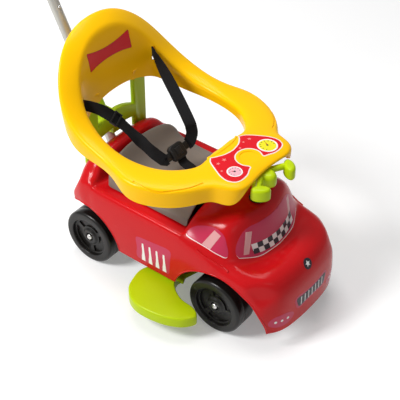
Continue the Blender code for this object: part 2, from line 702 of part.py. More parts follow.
def wheel_profile():
    """Down the tyre's outer side first: the outer face is at the top of the turned shape."""
    half, r = WHEEL_WIDTH / 2, WHEEL_R
    bore = AXLE_R + GAP
    hub = 0.0105
    return (
        (r - 0.015, half), (r - 0.005, half), (r - 0.001, half - 0.004), (r, half - 0.010),
        (r, 0.009 - half), (r - 0.003, 0.002 - half), (r - 0.006, -half), (r - 0.009, -half),
        (r - 0.0045, 0.010 - half), (r - 0.0045, half - 0.013), (0.0135, half - 0.013), (hub, -half),
        (bore, -half), (bore, half - HUB_RECESS - 0.003), (CAP_R + 0.002, half - HUB_RECESS - 0.003),
        (CAP_R + 0.003, half - 0.0045), (0.016, half - 0.0045), (0.019, half - 0.0085),
        (r - 0.020, half - 0.0085),
    )


def make_wheels():
    for word, y in (("front", FRONT_Y), ("rear", REAR_Y)):
        for side, hand in ((-1, "right"), (1, "left")):
            x = side * (WHEEL_FACE_X - WHEEL_WIDTH / 2)
            item = turned(f"{word}_wheel_{hand}", wheel_profile(), BLACK, 20,
                          location=(x, y, WHEEL_R), rotation=(0, side * pi / 2, 0))
            smooth(item, 30)


def axle_end():
    return WHEEL_FACE_X - HUB_RECESS - 0.003 + CAP_LENGTH - 0.003


def make_axles():
    end = axle_end()
    for name, y in (("front_axle", FRONT_Y), ("rear_axle", REAR_Y)):
        mesh = cylinder_mesh(name, AXLE_R, (-end, 0, 0), (end, 0, 0), 20)
        smooth(place(name, mesh, STEEL, location=(0, y, WHEEL_R)))
        for side, hand in ((-1, "right"), (1, "left")):
            start = WHEEL_FACE_X - HUB_RECESS - 0.003 + GAP
            depth = end - start + GAP
            inner = AXLE_R + GAP / 2
            profile = ((0.0, CAP_LENGTH), (CAP_R * 0.6, CAP_LENGTH - 0.0007),
                       (CAP_R * 0.92, CAP_LENGTH - 0.0025), (CAP_R, CAP_LENGTH - 0.005), (CAP_R, 0.0),
                       (inner, 0.0), (inner, depth), (0.0, depth))
            smooth(turned(f"{name[:-5]}_cap_{hand}", profile, STEEL, 14,
                          location=(side * start, y, WHEEL_R), rotation=(0, side * pi / 2, 0)))


def make_yoke():
    item = place("steering_yoke", box_mesh("steering_yoke", (-YOKE_HALF, -YOKE_DEPTH / 2, YOKE_BOTTOM_Z),
                                           (YOKE_HALF, YOKE_DEPTH / 2, YOKE_TOP_Z - 0.004)), BLACK,
                 location=(0, FRONT_Y, 0))
    here = {"location": (0, FRONT_Y, 0)}
    cut_cylinder(item, "boss", YOKE_BOSS_R, (0, 0, YOKE_BOTTOM_Z), (0, 0, YOKE_TOP_Z), "UNION", **here)
    cut_cylinder(item, "axle_bore", AXLE_R + GAP, (-0.1, 0, WHEEL_R), (0.1, 0, WHEEL_R), segments=16,
                 **here)
    cut_cylinder(item, "column_bore", COLUMN_R + GAP, (0, 0, COLUMN_FOOT_Z + AXLE_R), (0, 0, 0.1), **here)
    return smooth(item)


def make_column():
    foot = COLUMN_FOOT_Z + AXLE_R + GAP
    mesh = cylinder_mesh("steering_column", COLUMN_R, (0, 0, foot), (0, 0, COLUMN_TOP_Z), 24)
    smooth(place("steering_column", mesh, STEEL, location=(0, FRONT_Y, 0)))


def make_column_bush():
    profile = ((BUSH_FLANGE_R, BUSH_Z + 0.0075), (BUSH_FLANGE_R, BUSH_Z + 0.0055), (BUSH_R, BUSH_Z + 0.0055),
               (BUSH_R, BUSH_Z - 0.010), (COLUMN_R + RUNNING, BUSH_Z - 0.010),
               (COLUMN_R + RUNNING, BUSH_Z + 0.0075))
    smooth(turned("column_bush", profile, BLACK, 16, location=(0, FRONT_Y, 0)))


def oval(centre_x, centre_y, long, short, turn, count=16):
    angles = [2 * pi * k / count for k in range(count)]
    return [(centre_x + long * cos(a) * cos(turn) - short * sin(a) * sin(turn),
             centre_y + long * cos(a) * sin(turn) + short * sin(a) * cos(turn)) for a in angles]


def make_handlebar():
    here = {"location": (0, FRONT_Y, 0)}
    item = prism("handlebar", oval(0, HUB_Y - FRONT_Y, HUB_HALF, HUB_DEPTH, 0, 20), HUB_BOTTOM_Z,
                 HUB_NECK_Z + 0.004, LIME, **here)
    leaf = prism("handlebar_leaf", oval(0, LEAF_Y - FRONT_Y, LEAF_HALF, LEAF_DEPTH, 0, 20), HUB_NECK_Z,
                 HUB_TOP_Z, None, CUTTERS, **here)
    bevel(leaf, 0.009, 2, 60)
    cut(item, leaf, "UNION")
    bar_y, end_y, grip_y = BAR_Y - FRONT_Y, BAR_END_Y - FRONT_Y, GRIP_Y - FRONT_Y
    for side in (-1, 1):
        tag = "r" if side < 0 else "l"
        cut_cylinder(item, f"bar_{tag}", BAR_R, (side * 0.006, bar_y, BAR_Z),
                     (side * GRIP_X, end_y, BAR_Z - 0.001), "UNION", 12, **here)
        outline = oval(side * GRIP_X, grip_y, GRIP_LONG, GRIP_THICK, side * GRIP_SWEEP, 14)
        grip = prism(f"handlebar_grip_{tag}", outline, GRIP_BOTTOM_Z, GRIP_TOP_Z, None, CUTTERS, **here)
        bevel(grip, 0.0085, 2, 60)
        cut(item, grip, "UNION")
    cut_cylinder(item, "column_bore", COLUMN_R + GAP, (0, 0, HUB_BOTTOM_Z - 0.01),
                 (0, 0, COLUMN_TOP_Z + GAP), **here)
    return smooth(item)


def petal_points(side, inset=0.0, count=24):
    """The footrest's outline about its pivot, moved inwards by the inset."""
    spine = curve_through([(x, y, 0) for x, y in PETAL_OUTLINE], count, closed=True)
    points = []
    for k, point in enumerate(spine):
        along = (spine[(k + 1) % count] - spine[k - 1]).normalized()
        inner = point + Vector((along.y, -along.x, 0)) * inset
        points.append((-side * inner.x, inner.y))
    return points if side < 0 else list(reversed(points))


def make_footrests():
    half_outline = ((CARRIER_NOSE_HALF, CARRIER_FRONT_Y), CARRIER_KNEE, CARRIER_WAIST,
                    (CARRIER_HALF, CARRIER_TIP_Y), (CARRIER_HALF, CARRIER_REAR_Y))
    outline = half_outline + tuple((-x, y) for x, y in reversed(half_outline))
    carrier = prism("footrest_carrier", outline, SILL_Z - CARRIER_THICK, SILL_Z, LIME)
    bevel(carrier, 0.003, 1)
    low = PETAL_TOP_Z - PETAL_THICK
    for side, hand in ((-1, "right"), (1, "left")):
        here = (side * PETAL_PIVOT_X, PETAL_PIVOT_Y, 0)
        item = prism(f"footrest_{hand}", petal_points(side), low, PETAL_TOP_Z, LIME, location=here)
        bevel(item, 0.004, 1, 50)
        hollow = prism(f"footrest_{hand}_hollow", petal_points(side, PETAL_WALL), low - 0.01,
                       PETAL_TOP_Z - PETAL_WALL, None, CUTTERS, location=here)
        cut(item, hollow)
        cut_cylinder(item, "boss", PIVOT_BOSS_R, (0, 0, low), (0, 0, PETAL_TOP_Z - PETAL_WALL / 2),
                     "UNION", 20, location=here)
        cut_cylinder(item, "bore", PIVOT_R + RUNNING, (0, 0, low - 0.01), (0, 0, PETAL_TOP_Z + 0.01),
                     segments=16, location=here)
        cut_cylinder(item, "seat", PIVOT_HEAD_R + RUNNING, (0, 0, low - 0.01),
                     (0, 0, low + PIVOT_HEAD_THICK + RUNNING), segments=20, location=here)
        smooth(item)
        cut_cylinder(carrier, f"pilot_{hand}", PIVOT_R + GAP, (here[0], here[1], PETAL_TOP_Z - 0.01),
                     (here[0], here[1], SILL_Z + 0.01), segments=16)
        head = low + GAP
        profile = ((0.0, SILL_Z - 0.001), (PIVOT_R, SILL_Z - 0.001), (PIVOT_R, head + PIVOT_HEAD_THICK),
                   (PIVOT_HEAD_R, head + PIVOT_HEAD_THICK), (PIVOT_HEAD_R, head), (0.0, head))
        smooth(turned(f"footrest_pivot_{hand}", profile, STEEL, 16, location=here))
    smooth(carrier)


def ring_loop():
    """The whole loop's stations: the left half, then its mirror image."""
    half = [(Vector(a), Vector(b), c, d) for a, b, c, d in RING_STATIONS]
    mirror = [(Vector((-a.x, a.y, a.z)), Vector((-b.x, b.y, b.z)), c, d) for a, b, c, d in half[-2:0:-1]]
    return half + mirror


def ring_rows():
    """Section points at each station, from the inner skirt's foot to the outer skirt's foot."""
    rows = []
    for inner, outer, inner_drop, outer_drop in ring_loop():
        across = outer - inner
        width = across.length
        out = Vector((across.x, across.y, 0)).normalized()
        lean = BACK_LEAN * max(0.0, out.y) * Vector((0, 1, 0))
        round_by = min(0.010, width * 0.24)
        up = Vector((0, 0, 1))
        rows.append((
            inner - up * inner_drop - lean * inner_drop,
            inner - up * inner_drop * 0.5 - lean * inner_drop * 0.5,
            inner - up * round_by * 0.4,
            inner + out * round_by * 0.7 + up * RING_CROWN * 0.7,
            outer - out * round_by * 0.7 + up * RING_CROWN * 0.7,
            outer - up * round_by * 0.4,
            outer - up * outer_drop - out * 0.003 - lean * outer_drop,
        ))
    return rows


def make_guard_ring():
    bm = bmesh.new()
    rows = [[bm.verts.new(p) for p in row] for row in ring_rows()]
    grid_faces(bm, rows, closed=True)
    mesh = mesh_from(bm, "guard_ring")
    item = place("guard_ring", mesh, YELLOW)
    subdivide(item, 1)
    solidify(item, RING_WALL)
    for side in (-1, 1):
        tag = "r" if side < 0 else "l"
        x, half, deep = side * POST_X, POST_WIDTH / 2 + SOCKET_WALL, POST_DEPTH / 2 + SOCKET_WALL
        cut_box(item, f"socket_{tag}", (x - half, POST_Y - deep, POST_TOP_Z - SOCKET_DEPTH),
                (x + half, POST_Y + deep, POST_TOP_Z + SOCKET_WALL), "UNION")
        post_cutter(item, side, GAP, POST_FOOT_Z, POST_TOP_Z + GAP)
        strap = LEFT_STRAP if side > 0 else RIGHT_STRAP
        start, end = Vector(strap[0]), Vector(strap[1])
        turn = (end - start).to_track_quat("Y", "Z").to_euler()
        cut_box(item, f"slot_{tag}", (-0.004, -0.022, -STRAP_WIDTH / 2 - 0.003),
                (0.004, 0.018, STRAP_WIDTH / 2 + 0.003), location=(start * 0.35 + end * 0.65), rotation=turn)
    cut_cylinder(item, "dish", DISH_R, (0, DISH_Y, 0.3425), (0, DISH_Y, 0.36), segments=32)
    return smooth(item)


def make_back_frame():
    x, half, deep = POST_X, POST_WIDTH / 2, POST_DEPTH / 2
    item = place("back_frame", box_mesh("back_frame", (x - half, POST_Y - deep, POST_FOOT_Z),
                                        (x + half, POST_Y + deep, POST_TOP_Z)), LIME)
    bevel(item, 0.005, 2)
    second = place("back_frame_right_post", box_mesh("post", (-x - half, POST_Y - deep, POST_FOOT_Z),
                                                    (-x + half, POST_Y + deep, POST_TOP_Z)), None, CUTTERS)
    bevel(second, 0.005, 2)
    cut(item, second, "UNION")
    reach = x - half + 0.008
    steps = 10
    top = [(reach * (2 * k / steps - 1), BAND_HEIGHT / 2 + BAND_RISE * cos(pi / 2 * (2 * k / steps - 1)))
           for k in range(steps + 1)]
    under = [(px, -BAND_HEIGHT / 2 + (py - BAND_HEIGHT / 2) * 0.35) for px, py in reversed(top)]
    band = prism("back_frame_band", top + under, -BAND_DEPTH / 2, BAND_DEPTH / 2, None, CUTTERS,
                 location=(0, POST_Y, BAND_Z), rotation=(pi / 2, 0, 0))
    cut(item, band, "UNION")
    cut_box(item, "hub", (0.003 - SLEEVE_R, POST_Y - BAND_DEPTH / 2 + 0.001, SLEEVE_FROM_Z + 0.003),
            (SLEEVE_R - 0.003, tube_point(BAND_Z).y, BAND_Z + BAND_HEIGHT / 2 + 0.004), "UNION")
    cut_cylinder(item, "sleeve", SLEEVE_R, tube_point(SLEEVE_FROM_Z), tube_point(SLEEVE_TO_Z), "UNION", 24)
    cut_cylinder(item, "tube_bore", TUBE_R + GAP, tube_point(0.15), tube_point(0.45), segments=24)
    return smooth(item)


def tube_solid(name, profile, foot_z, steps=24):
    item = turned(name, profile, STEEL, steps, location=tube_point(foot_z), rotation=(-TUBE_LEAN, 0, 0))
    return smooth(item)


def along_tube(z_from, z_to):
    return (z_to - z_from) / cos(TUBE_LEAN)


def make_push_tube():
    bore = TUBE_R - TUBE_WALL
    length = along_tube(TUBE_FOOT_Z, TUBE_JOINT_Z)
    lower = tube_solid("lower_push_tube", ((TUBE_R, length), (TUBE_R, 0.0), (bore, 0.0), (bore, length)),
                       TUBE_FOOT_Z)
    upper_length = along_tube(TUBE_JOINT_Z, TUBE_TOP_Z)
    spigot = bore - GAP
    inner = spigot - TUBE_WALL
    upper = tube_solid("upper_push_tube", (
        (TUBE_R, upper_length), (TUBE_R, GAP), (spigot, GAP), (spigot, -SPIGOT_LENGTH),
        (inner, -SPIGOT_LENGTH), (inner, upper_length)), TUBE_JOINT_Z)
    out = Vector((0, -cos(TUBE_LEAN), sin(TUBE_LEAN)))
    centre = tube_point(BUTTON_Z)
    for item in (lower, upper):
        cut_cylinder(item, "button_hole", BUTTON_R + RUNNING / 2, centre + out * 0.004,
                     centre + out * 0.02, segments=16)
    leaf_out = inner - 0.0009
    reach = TUBE_R + BUTTON_PROUD
    button = place("snap_button", box_mesh("snap_button", (-LEAF_WIDTH / 2, -leaf_out, -LEAF_LENGTH / 2),
                                           (LEAF_WIDTH / 2, LEAF_THICK - leaf_out, LEAF_LENGTH / 2)),
                   STEEL, location=centre, rotation=(-TUBE_LEAN, 0, 0))
    head = place("snap_button_head", cylinder_mesh("head", BUTTON_R, (0, -leaf_out + 0.0002, 0),
                                                   (0, -reach, 0), 16), None, CUTTERS,
                 location=centre, rotation=(-TUBE_LEAN, 0, 0))
    bevel(head, 0.0012, 2, 60)
    cut(button, head, "UNION")
    smooth(button)
    place("snap_spring_leg", box_mesh("snap_spring_leg", (-LEAF_WIDTH / 2, leaf_out - LEAF_THICK,
                                                          -LEAF_LENGTH / 2),
                                      (LEAF_WIDTH / 2, leaf_out, LEAF_LENGTH / 2)),
          STEEL, location=centre, rotation=(-TUBE_LEAN, 0, 0))


def make_push_handle():
    top = tube_point(TUBE_TOP_Z)
    lean = {"location": top, "rotation": (-TUBE_LEAN, 0, 0)}
    half = HANDLE_HALF
    mesh = cylinder_mesh("push_handle", HANDLE_R, (-half, 0, HANDLE_DROP), (half, 0, HANDLE_DROP), 16)
    item = place("push_handle", mesh, LIME, **lean)
    bevel(item, 0.006, 2, 60)
    cut_cylinder(item, "neck", HANDLE_NECK_R, (0, 0, HANDLE_DROP / 2), (0, 0, -HANDLE_NECK_LENGTH),
                 "UNION", 20, **lean)
    cut_cylinder(item, "bore", TUBE_R + GAP, (0, 0, GAP), (0, 0, -HANDLE_NECK_LENGTH - 0.01), **lean)
    return smooth(item)


def ribbon(name, points, end, widths, finish, count):
    """A flat strap through the points and straight on to its end; width vectors lie across it."""
    spine = curve_through(points, count - 1) + [Vector(end)]
    bm = bmesh.new()
    rows = []
    for k, point in enumerate(spine):
        along = (spine[min(k + 1, count - 1)] - spine[max(k - 1, 0)]).normalized()
        at = k / (count - 1) * (len(widths) - 1)
        i = min(int(at), len(widths) - 2)
        across = Vector(widths[i]).lerp(Vector(widths[i + 1]), at - i)
        across = (across - along * across.dot(along)).normalized() * STRAP_WIDTH / 2
        flat = along.cross(across).normalized() * STRAP_THICK / 2
        rows.append([bm.verts.new(point + a * across + b * flat)
                     for a, b in ((-1, -1), (1, -1), (1, 1), (-1, 1))])
    for near, far in zip(rows, rows[1:]):
        for j in range(4):
            bm.faces.new((near[j], near[(j + 1) % 4], far[(j + 1) % 4], far[j]))
    bm.faces.new(list(reversed(rows[0])))
    bm.faces.new(rows[-1])
    return smooth(place(name, mesh_from(bm, name), finish))


def buckle_point(x, y, z=0.0):
    """A point of the buckle's own plane: y runs up its length, z out of its face."""
    turn = Matrix.Rotation(BUCKLE_TILT, 4, "X")
    return Vector((0, BUCKLE_Y, BUCKLE_Z)) + turn @ Vector((x, y, z))


def make_harness():
    tilt = (BUCKLE_TILT, 0, 0)
    centre = (0, BUCKLE_Y, BUCKLE_Z)
    half, deep, thick = BUCKLE_WIDTH / 2, BUCKLE_LENGTH / 2, BUCKLE_THICK / 2
    body = place("buckle_body", box_mesh("buckle_body", (-half, -deep, -thick), (half, deep, thick)), BLACK,
                 location=centre, rotation=tilt)
    bevel(body, 0.003, 2)
    press = {"location": centre, "rotation": tilt}
    room = RUNNING / 2
    cut_box(body, "release_well", (-RELEASE_WIDTH / 2 - room, -RELEASE_LENGTH / 2 - room, 0.0),
            (RELEASE_WIDTH / 2 + room, RELEASE_LENGTH / 2 + room, thick + 0.01), **press)
    smooth(body)
    release = place("buckle_release", box_mesh(
        "buckle_release", (-RELEASE_WIDTH / 2, -RELEASE_LENGTH / 2, RELEASE_TRAVEL + GAP),
        (RELEASE_WIDTH / 2, RELEASE_LENGTH / 2, thick + RELEASE_PROUD)), BLACK, **press)
    bevel(release, 0.0012, 1)
    smooth(release)
    for side, hand, strap, turns in ((-1, "right", RIGHT_STRAP, RIGHT_TURNS),
                                     (1, "left", LEFT_STRAP, LEFT_TURNS)):
        inner = half + GAP
        low, high = sorted((side * inner, side * (inner + TONGUE_LENGTH)))
        tongue = place(f"buckle_tongue_{hand}", box_mesh(
            "tongue", (low, -TONGUE_HALF, -TONGUE_THICK / 2), (high, TONGUE_HALF, TONGUE_THICK / 2)),
            BLACK, location=centre, rotation=tilt)
        bevel(tongue, 0.0015, 1)
        smooth(tongue)
        outer = side * (inner + TONGUE_LENGTH + GAP)
        points = list(strap) + [buckle_point(outer + side * 0.007, 0)]
        ribbon(f"shoulder_strap_{hand}", points, buckle_point(outer, 0), turns, WEBBING, 32)
        first = Vector(strap[0])
        anchor = first + (first - Vector(strap[1])).normalized() * (ANCHOR_R + 0.0012)
        reach = STRAP_WIDTH / 2 + 0.004
        smooth(place(f"strap_anchor_{hand}", cylinder_mesh("anchor", ANCHOR_R, (0, 0, -reach), (0, 0, reach),
                                                           12), BLACK, location=anchor))
    top = buckle_point(0, -deep - GAP)
    drop = buckle_point(0, -deep - 0.010)
    foot = PLATEAU_Z + 0.0015
    ribbon("crotch_strap", (top, drop, (0, STRAP_SLOT_Y + 0.010, 0.244), (0, STRAP_SLOT_Y + 0.001, 0.231),
                            (0, STRAP_SLOT_Y, 0.216)), (0, STRAP_SLOT_Y, foot), ((1, 0, 0), (1, 0, 0)),
           WEBBING, 12)


def main():
    make_body_shell()
    make_seat_lid()
    make_toy_bin()
    make_lid_pins()
    make_chassis()
    make_chassis_screws()
    make_wheels()
    make_axles()
    make_yoke()
    make_column()
    make_column_bush()
    make_handlebar()
    make_footrests()
    make_guard_ring()
    make_back_frame()
    make_push_tube()
    make_push_handle()
    make_harness()


main()
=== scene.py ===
"""Dresses a child's foot-to-floor ride-on car: moulded shells, stickers, wheels, tube and harness.

Metres, +Z up, the front towards -Y. Sizes are given about the wheelbase's middle and moved
to the frame's place when a piece is finished.
"""
from math import atan, cos, pi, radians, sin, tan

import bmesh
import bpy
from bpy.props import FloatProperty, FloatVectorProperty, IntProperty, PointerProperty
from mathutils import Matrix, Vector
from mathutils.bvhtree import BVHTree
from mathutils.geometry import delaunay_2d_cdt


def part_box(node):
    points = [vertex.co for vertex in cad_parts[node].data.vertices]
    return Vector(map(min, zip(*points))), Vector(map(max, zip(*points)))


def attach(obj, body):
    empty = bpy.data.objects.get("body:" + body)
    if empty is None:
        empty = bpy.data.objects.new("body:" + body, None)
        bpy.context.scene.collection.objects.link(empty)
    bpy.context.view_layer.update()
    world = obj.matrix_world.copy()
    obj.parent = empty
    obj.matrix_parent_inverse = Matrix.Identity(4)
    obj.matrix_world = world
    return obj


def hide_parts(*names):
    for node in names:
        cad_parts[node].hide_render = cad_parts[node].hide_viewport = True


bl_info = {
    "name": "Ride-on car dresser",
    "version": (1, 0, 0),
    "blender": (4, 5, 0),
    "location": "3D View > Sidebar > Ride-on car",
    "description": "Builds the moulded shells, stickers and harness of a child's ride-on car",
    "category": "Object",
}

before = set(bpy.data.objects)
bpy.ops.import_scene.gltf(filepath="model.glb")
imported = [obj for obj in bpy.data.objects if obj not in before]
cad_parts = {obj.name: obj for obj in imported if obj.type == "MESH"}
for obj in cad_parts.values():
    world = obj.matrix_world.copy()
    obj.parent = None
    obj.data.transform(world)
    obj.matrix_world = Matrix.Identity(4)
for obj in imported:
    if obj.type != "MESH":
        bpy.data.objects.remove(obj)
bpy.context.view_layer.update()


def node_middle(node):
    low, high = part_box(node)
    return (low + high) / 2


def node_size(node):
    low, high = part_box(node)
    return high - low


FRONT_WHEEL = node_middle("front_wheel_left")
REAR_WHEEL = node_middle("rear_wheel_left")
MIDDLE_Y = (FRONT_WHEEL.y + REAR_WHEEL.y) / 2
FRONT_Y = FRONT_WHEEL.y - MIDDLE_Y
REAR_Y = REAR_WHEEL.y - MIDDLE_Y
WHEEL_R = node_size("front_wheel_left").z / 2
WHEEL_WIDTH = node_size("front_wheel_left").x
WHEEL_FACE_X = FRONT_WHEEL.x + WHEEL_WIDTH / 2

# Clearances, axles and hub caps
GAP = 0.0003
RUNNING = 0.0006
AXLE_R = 0.004
CAP_R = 0.0065
CAP_LENGTH = 0.0075
CAP_DOME = 0.0045
CAP_SEAT = 0.008

# Where rays start: outside the flanks, and above the ring
BESIDE = 0.2
ABOVE = 0.4

# Wheels
TYRE_ROUND = 0.0065
INNER_ROUND = 0.003
TYRE_WALL = 0.0045
RIM_WIDTH = 0.0160
RIM_ROUND = 0.0020
FACE_DEPTH = 0.0085
WEB_DEPTH = 0.013
HUB_R = 0.0105
POCKET_INNER = 0.0235
POCKET_OUTER = WHEEL_R - 0.0225
POCKET_RIB = 0.16

# Body shell
WALL = 0.003
FLANK_OUT = 0.008
BODY_HALF = 0.1325
SILL_Z = 0.0735
NOSE_RIM_Z = 0.037
TAIL_RIM_Z = 0.137
PLATEAU_Z = 0.200
NOSE_Y = -0.2983
TAIL_Y = 0.219
FRONT_ARCH_R = 0.107
FRONT_ARCH_Z = 0.0385
FRONT_ARCH_Y = FRONT_Y - 0.0035
REAR_ARCH_R = 0.089
LIP_OUTSIDE = 0.0016
LIP_SUNK = 0.0012
FLANK_LEAST_X = 0.08
ACROSS = (0.0, 0.62, 0.86, 1.0)
BODY_ROWS = (
    (NOSE_Y, 0.117, 0.036, 4, (0.137, 0.136, 0.131, 0.121)),
    (NOSE_Y + 0.016, 0.1235, 0.037, 4, (0.161, 0.159, 0.154, 0.142)),
    (-0.254, 0.1285, 0.026, 3, (0.167, 0.166, 0.163, 0.153)),
    (-0.231, 0.131, 0.043, 2, (0.161, 0.166, 0.171, 0.160)),
    (-0.2155, 0.132, 0.043, 2, (0.187, 0.184, 0.179, 0.165)),
    (-0.200, 0.132, 0.038, 2, (0.232, 0.220, 0.189, 0.171)),
    (-0.180, 0.132, 0.026, 2, (0.2485, 0.243, 0.200, 0.174)),
    (-0.145, BODY_HALF, 0.010, 2, (0.2495, 0.245, 0.207, 0.182)),
    (-0.0855, BODY_HALF, 0.0, 2, (0.245, 0.236, 0.209, 0.196)),
    (-0.079, BODY_HALF, 0.0, 2, (0.203, 0.203, PLATEAU_Z, 0.199)),
    (-0.035, BODY_HALF, 0.0, 2, (PLATEAU_Z, PLATEAU_Z, PLATEAU_Z, 0.200)),
    (0.105, BODY_HALF, 0.0, 2, (PLATEAU_Z, PLATEAU_Z, PLATEAU_Z, 0.200)),
    (0.148, 0.131, 0.0, 2, (0.203, 0.203, 0.203, 0.201)),
    (0.157, 0.130, 0.0, 2, (0.247, 0.244, 0.215, 0.206)),
    (0.183, 0.128, -0.004, 4, (0.250, 0.245, 0.223, 0.206)),
    (0.204, 0.124, -0.009, 4, (0.228, 0.222, 0.208, 0.195)),
    (TAIL_Y, 0.118, -0.015, 4, (0.188, 0.185, 0.180, 0.172)),
)
BODY_RINGS = ((0.0058, 0.20), (FLANK_OUT, 0.60), (0.0060, 1.0))
CORNER_REACH = 1.4
ROOF_CUT = (0.2, 0.3)
TAIL_CUT = (0.17, 0.30)
POST_CUT_Z = 0.19

# Seat lid
SEAT_HALF = 0.108
SEAT_FRONT_Y = -0.0755
SEAT_REAR_Y = 0.1445
SEAT_WALL = 0.003
SEAT_ROUND = 0.012
SEAT_BACK_Y = 0.12
SEAT_ACROSS = (0.0, 0.45, 0.82, 1.0)
SEAT_ROWS = (
    (SEAT_FRONT_Y, (0.244, 0.244, 0.240, 0.222)),
    (SEAT_FRONT_Y + 0.014, (0.241, 0.240, 0.236, 0.220)),
    (-0.030, (0.224, 0.224, 0.223, 0.216)),
    (0.020, (0.218, 0.218, 0.218, 0.213)),
    (0.070, (0.220, 0.220, 0.220, 0.215)),
    (0.108, (0.230, 0.230, 0.229, 0.222)),
    (0.130, (0.252, 0.251, 0.247, 0.236)),
    (SEAT_REAR_Y - 0.004, (0.258, 0.257, 0.252, 0.240)),
)
SEAT_RINGS = ((0.008, 0.25), (0.012, 1.0))
SKIRT_Z = PLATEAU_Z + 0.0036
STRAP_SLOT_Y = -0.018
STRAP_SLOT = 0.006
STRAP_SLOT_ROOM = 0.002
SEAT_CUT = (0.18, 0.28)
BIN_HALF = 0.080
BIN_FRONT_Y = -0.058
BIN_REAR_Y = 0.100

# Guard ring
RING_WALL = 0.003
RING_CROWN = 0.005
RING_ROUND = 0.010
RING_STATIONS = (
    ((0.000, -0.077, 0.337), (0.000, -0.185, 0.336), 0.014, 0.008),
    ((0.026, -0.075, 0.337), (0.038, -0.188, 0.336), 0.014, 0.008),
    ((0.043, -0.077, 0.336), (0.068, -0.193, 0.336), 0.016, 0.007),
    ((0.056, -0.078, 0.335), (0.091, -0.184, 0.336), 0.018, 0.040),
    ((0.070, -0.078, 0.334), (0.101, -0.158, 0.335), 0.019, 0.042),
    ((0.086, -0.071, 0.333), (0.107, -0.137, 0.333), 0.020, 0.035),
    ((0.103, -0.055, 0.332), (0.135, -0.119, 0.331), 0.021, 0.038),
    ((0.120, -0.033, 0.332), (0.167, -0.087, 0.330), 0.022, 0.041),
    ((0.130, -0.008, 0.332), (0.191, -0.041, 0.330), 0.022, 0.041),
    ((0.136, 0.022, 0.333), (0.198, 0.003, 0.331), 0.022, 0.041),
    ((0.138, 0.052, 0.335), (0.186, 0.037, 0.334), 0.023, 0.021),
    ((0.136, 0.085, 0.340), (0.178, 0.077, 0.341), 0.026, 0.025),
    ((0.130, 0.120, 0.351), (0.177, 0.122, 0.353), 0.034, 0.035),
    ((0.124, 0.150, 0.371), (0.172, 0.161, 0.373), 0.048, 0.048),
    ((0.116, 0.173, 0.399), (0.160, 0.196, 0.404), 0.068, 0.052),
    ((0.101, 0.191, 0.432), (0.137, 0.222, 0.444), 0.090, 0.070),
    ((0.078, 0.204, 0.461), (0.104, 0.242, 0.477), 0.112, 0.092),
    ((0.043, 0.215, 0.484), (0.059, 0.257, 0.501), 0.126, 0.110),
    ((0.000, 0.218, 0.491), (0.000, 0.261, 0.508), 0.130, 0.116),
)
BACK_LEAN = 0.20
BACK_SLOT_AT = 0.65
BACK_SLOT_LOW = (-0.004, -0.022)
BACK_SLOT_HIGH = (0.004, 0.018)
BACK_SLOT_ROOM = 0.003
DISH_Y = -0.143
DISH_R = 0.0195
DISH_FLOOR_Z = 0.3385
DISH_TOP_Z = 0.36
GROOVE_R = 0.0024
BEAD_R = 0.0027
BEAD = ((0, -0.1203, 0.1845), (0, -0.1369, 0.1795), (0, -0.1556, 0.1750), (0, -0.1744, 0.1690),
        (0, -0.1927, 0.1637))
LIP_R = 0.0030
LIP = ((-0.045, -0.0785, 0.337), (-0.034, -0.0845, 0.337), (-0.017, -0.0880, 0.337),
       (0.0, -0.0885, 0.337), (0.017, -0.0880, 0.337), (0.034, -0.0845, 0.337),
       (0.045, -0.0785, 0.337))
CHECK_WIDTH = 0.0130
CHECK_HEIGHT = 0.0110
CHECK_COUNT = 10
GROOVE = ((0.1855, -0.012, 0.3375), (0.1835, -0.044, 0.3375), (0.1710, -0.072, 0.3375),
          (0.1480, -0.0975, 0.3380), (0.1280, -0.112, 0.3385), (0.1110, -0.1195, 0.3385))

# Back frame
POST_X = 0.0735
POST_Y = 0.2000
POST_WIDTH = 0.040
POST_DEPTH = 0.012
POST_ROUND = 0.0055
POST_FOOT_Z = 0.150
POST_TOP_Z = 0.370
BAND_Z = 0.272
BAND_HEIGHT = 0.028
BAND_RISE = 0.020
BAND_ARCH = 0.35
BAND_DEPTH = 0.013
BAND_ROUND = 0.0028
SOCKET_WALL = 0.003
SOCKET_TOP_Z = 0.184
SOCKET_DEPTH = 0.018
SLEEVE_R = 0.0165
SLEEVE_FROM_Z = 0.248
SLEEVE_TO_Z = 0.340

# Push tube and handle
TUBE_R = 0.011
TUBE_WALL = 0.0012
TUBE_LEAN = atan(0.495)
TUBE_REF_Y = 0.210
TUBE_REF_Z = 0.213
TUBE_FOOT_Z = 0.120
TUBE_JOINT_Z = 0.530
TUBE_TOP_Z = 0.890
SPIGOT_LENGTH = 0.090
BUTTON_Z = 0.489
BUTTON_R = 0.0035
HANDLE_R = 0.0145
HANDLE_HALF = 0.085
HANDLE_DROP = 0.004
HANDLE_ROUND = 0.008
RIB = 0.0008
RIB_COUNT = 9
RIB_FROM = 0.020
RIB_STEP = 0.0045
HANDLE_NECK_R = 0.0165
HANDLE_NECK_LENGTH = 0.050

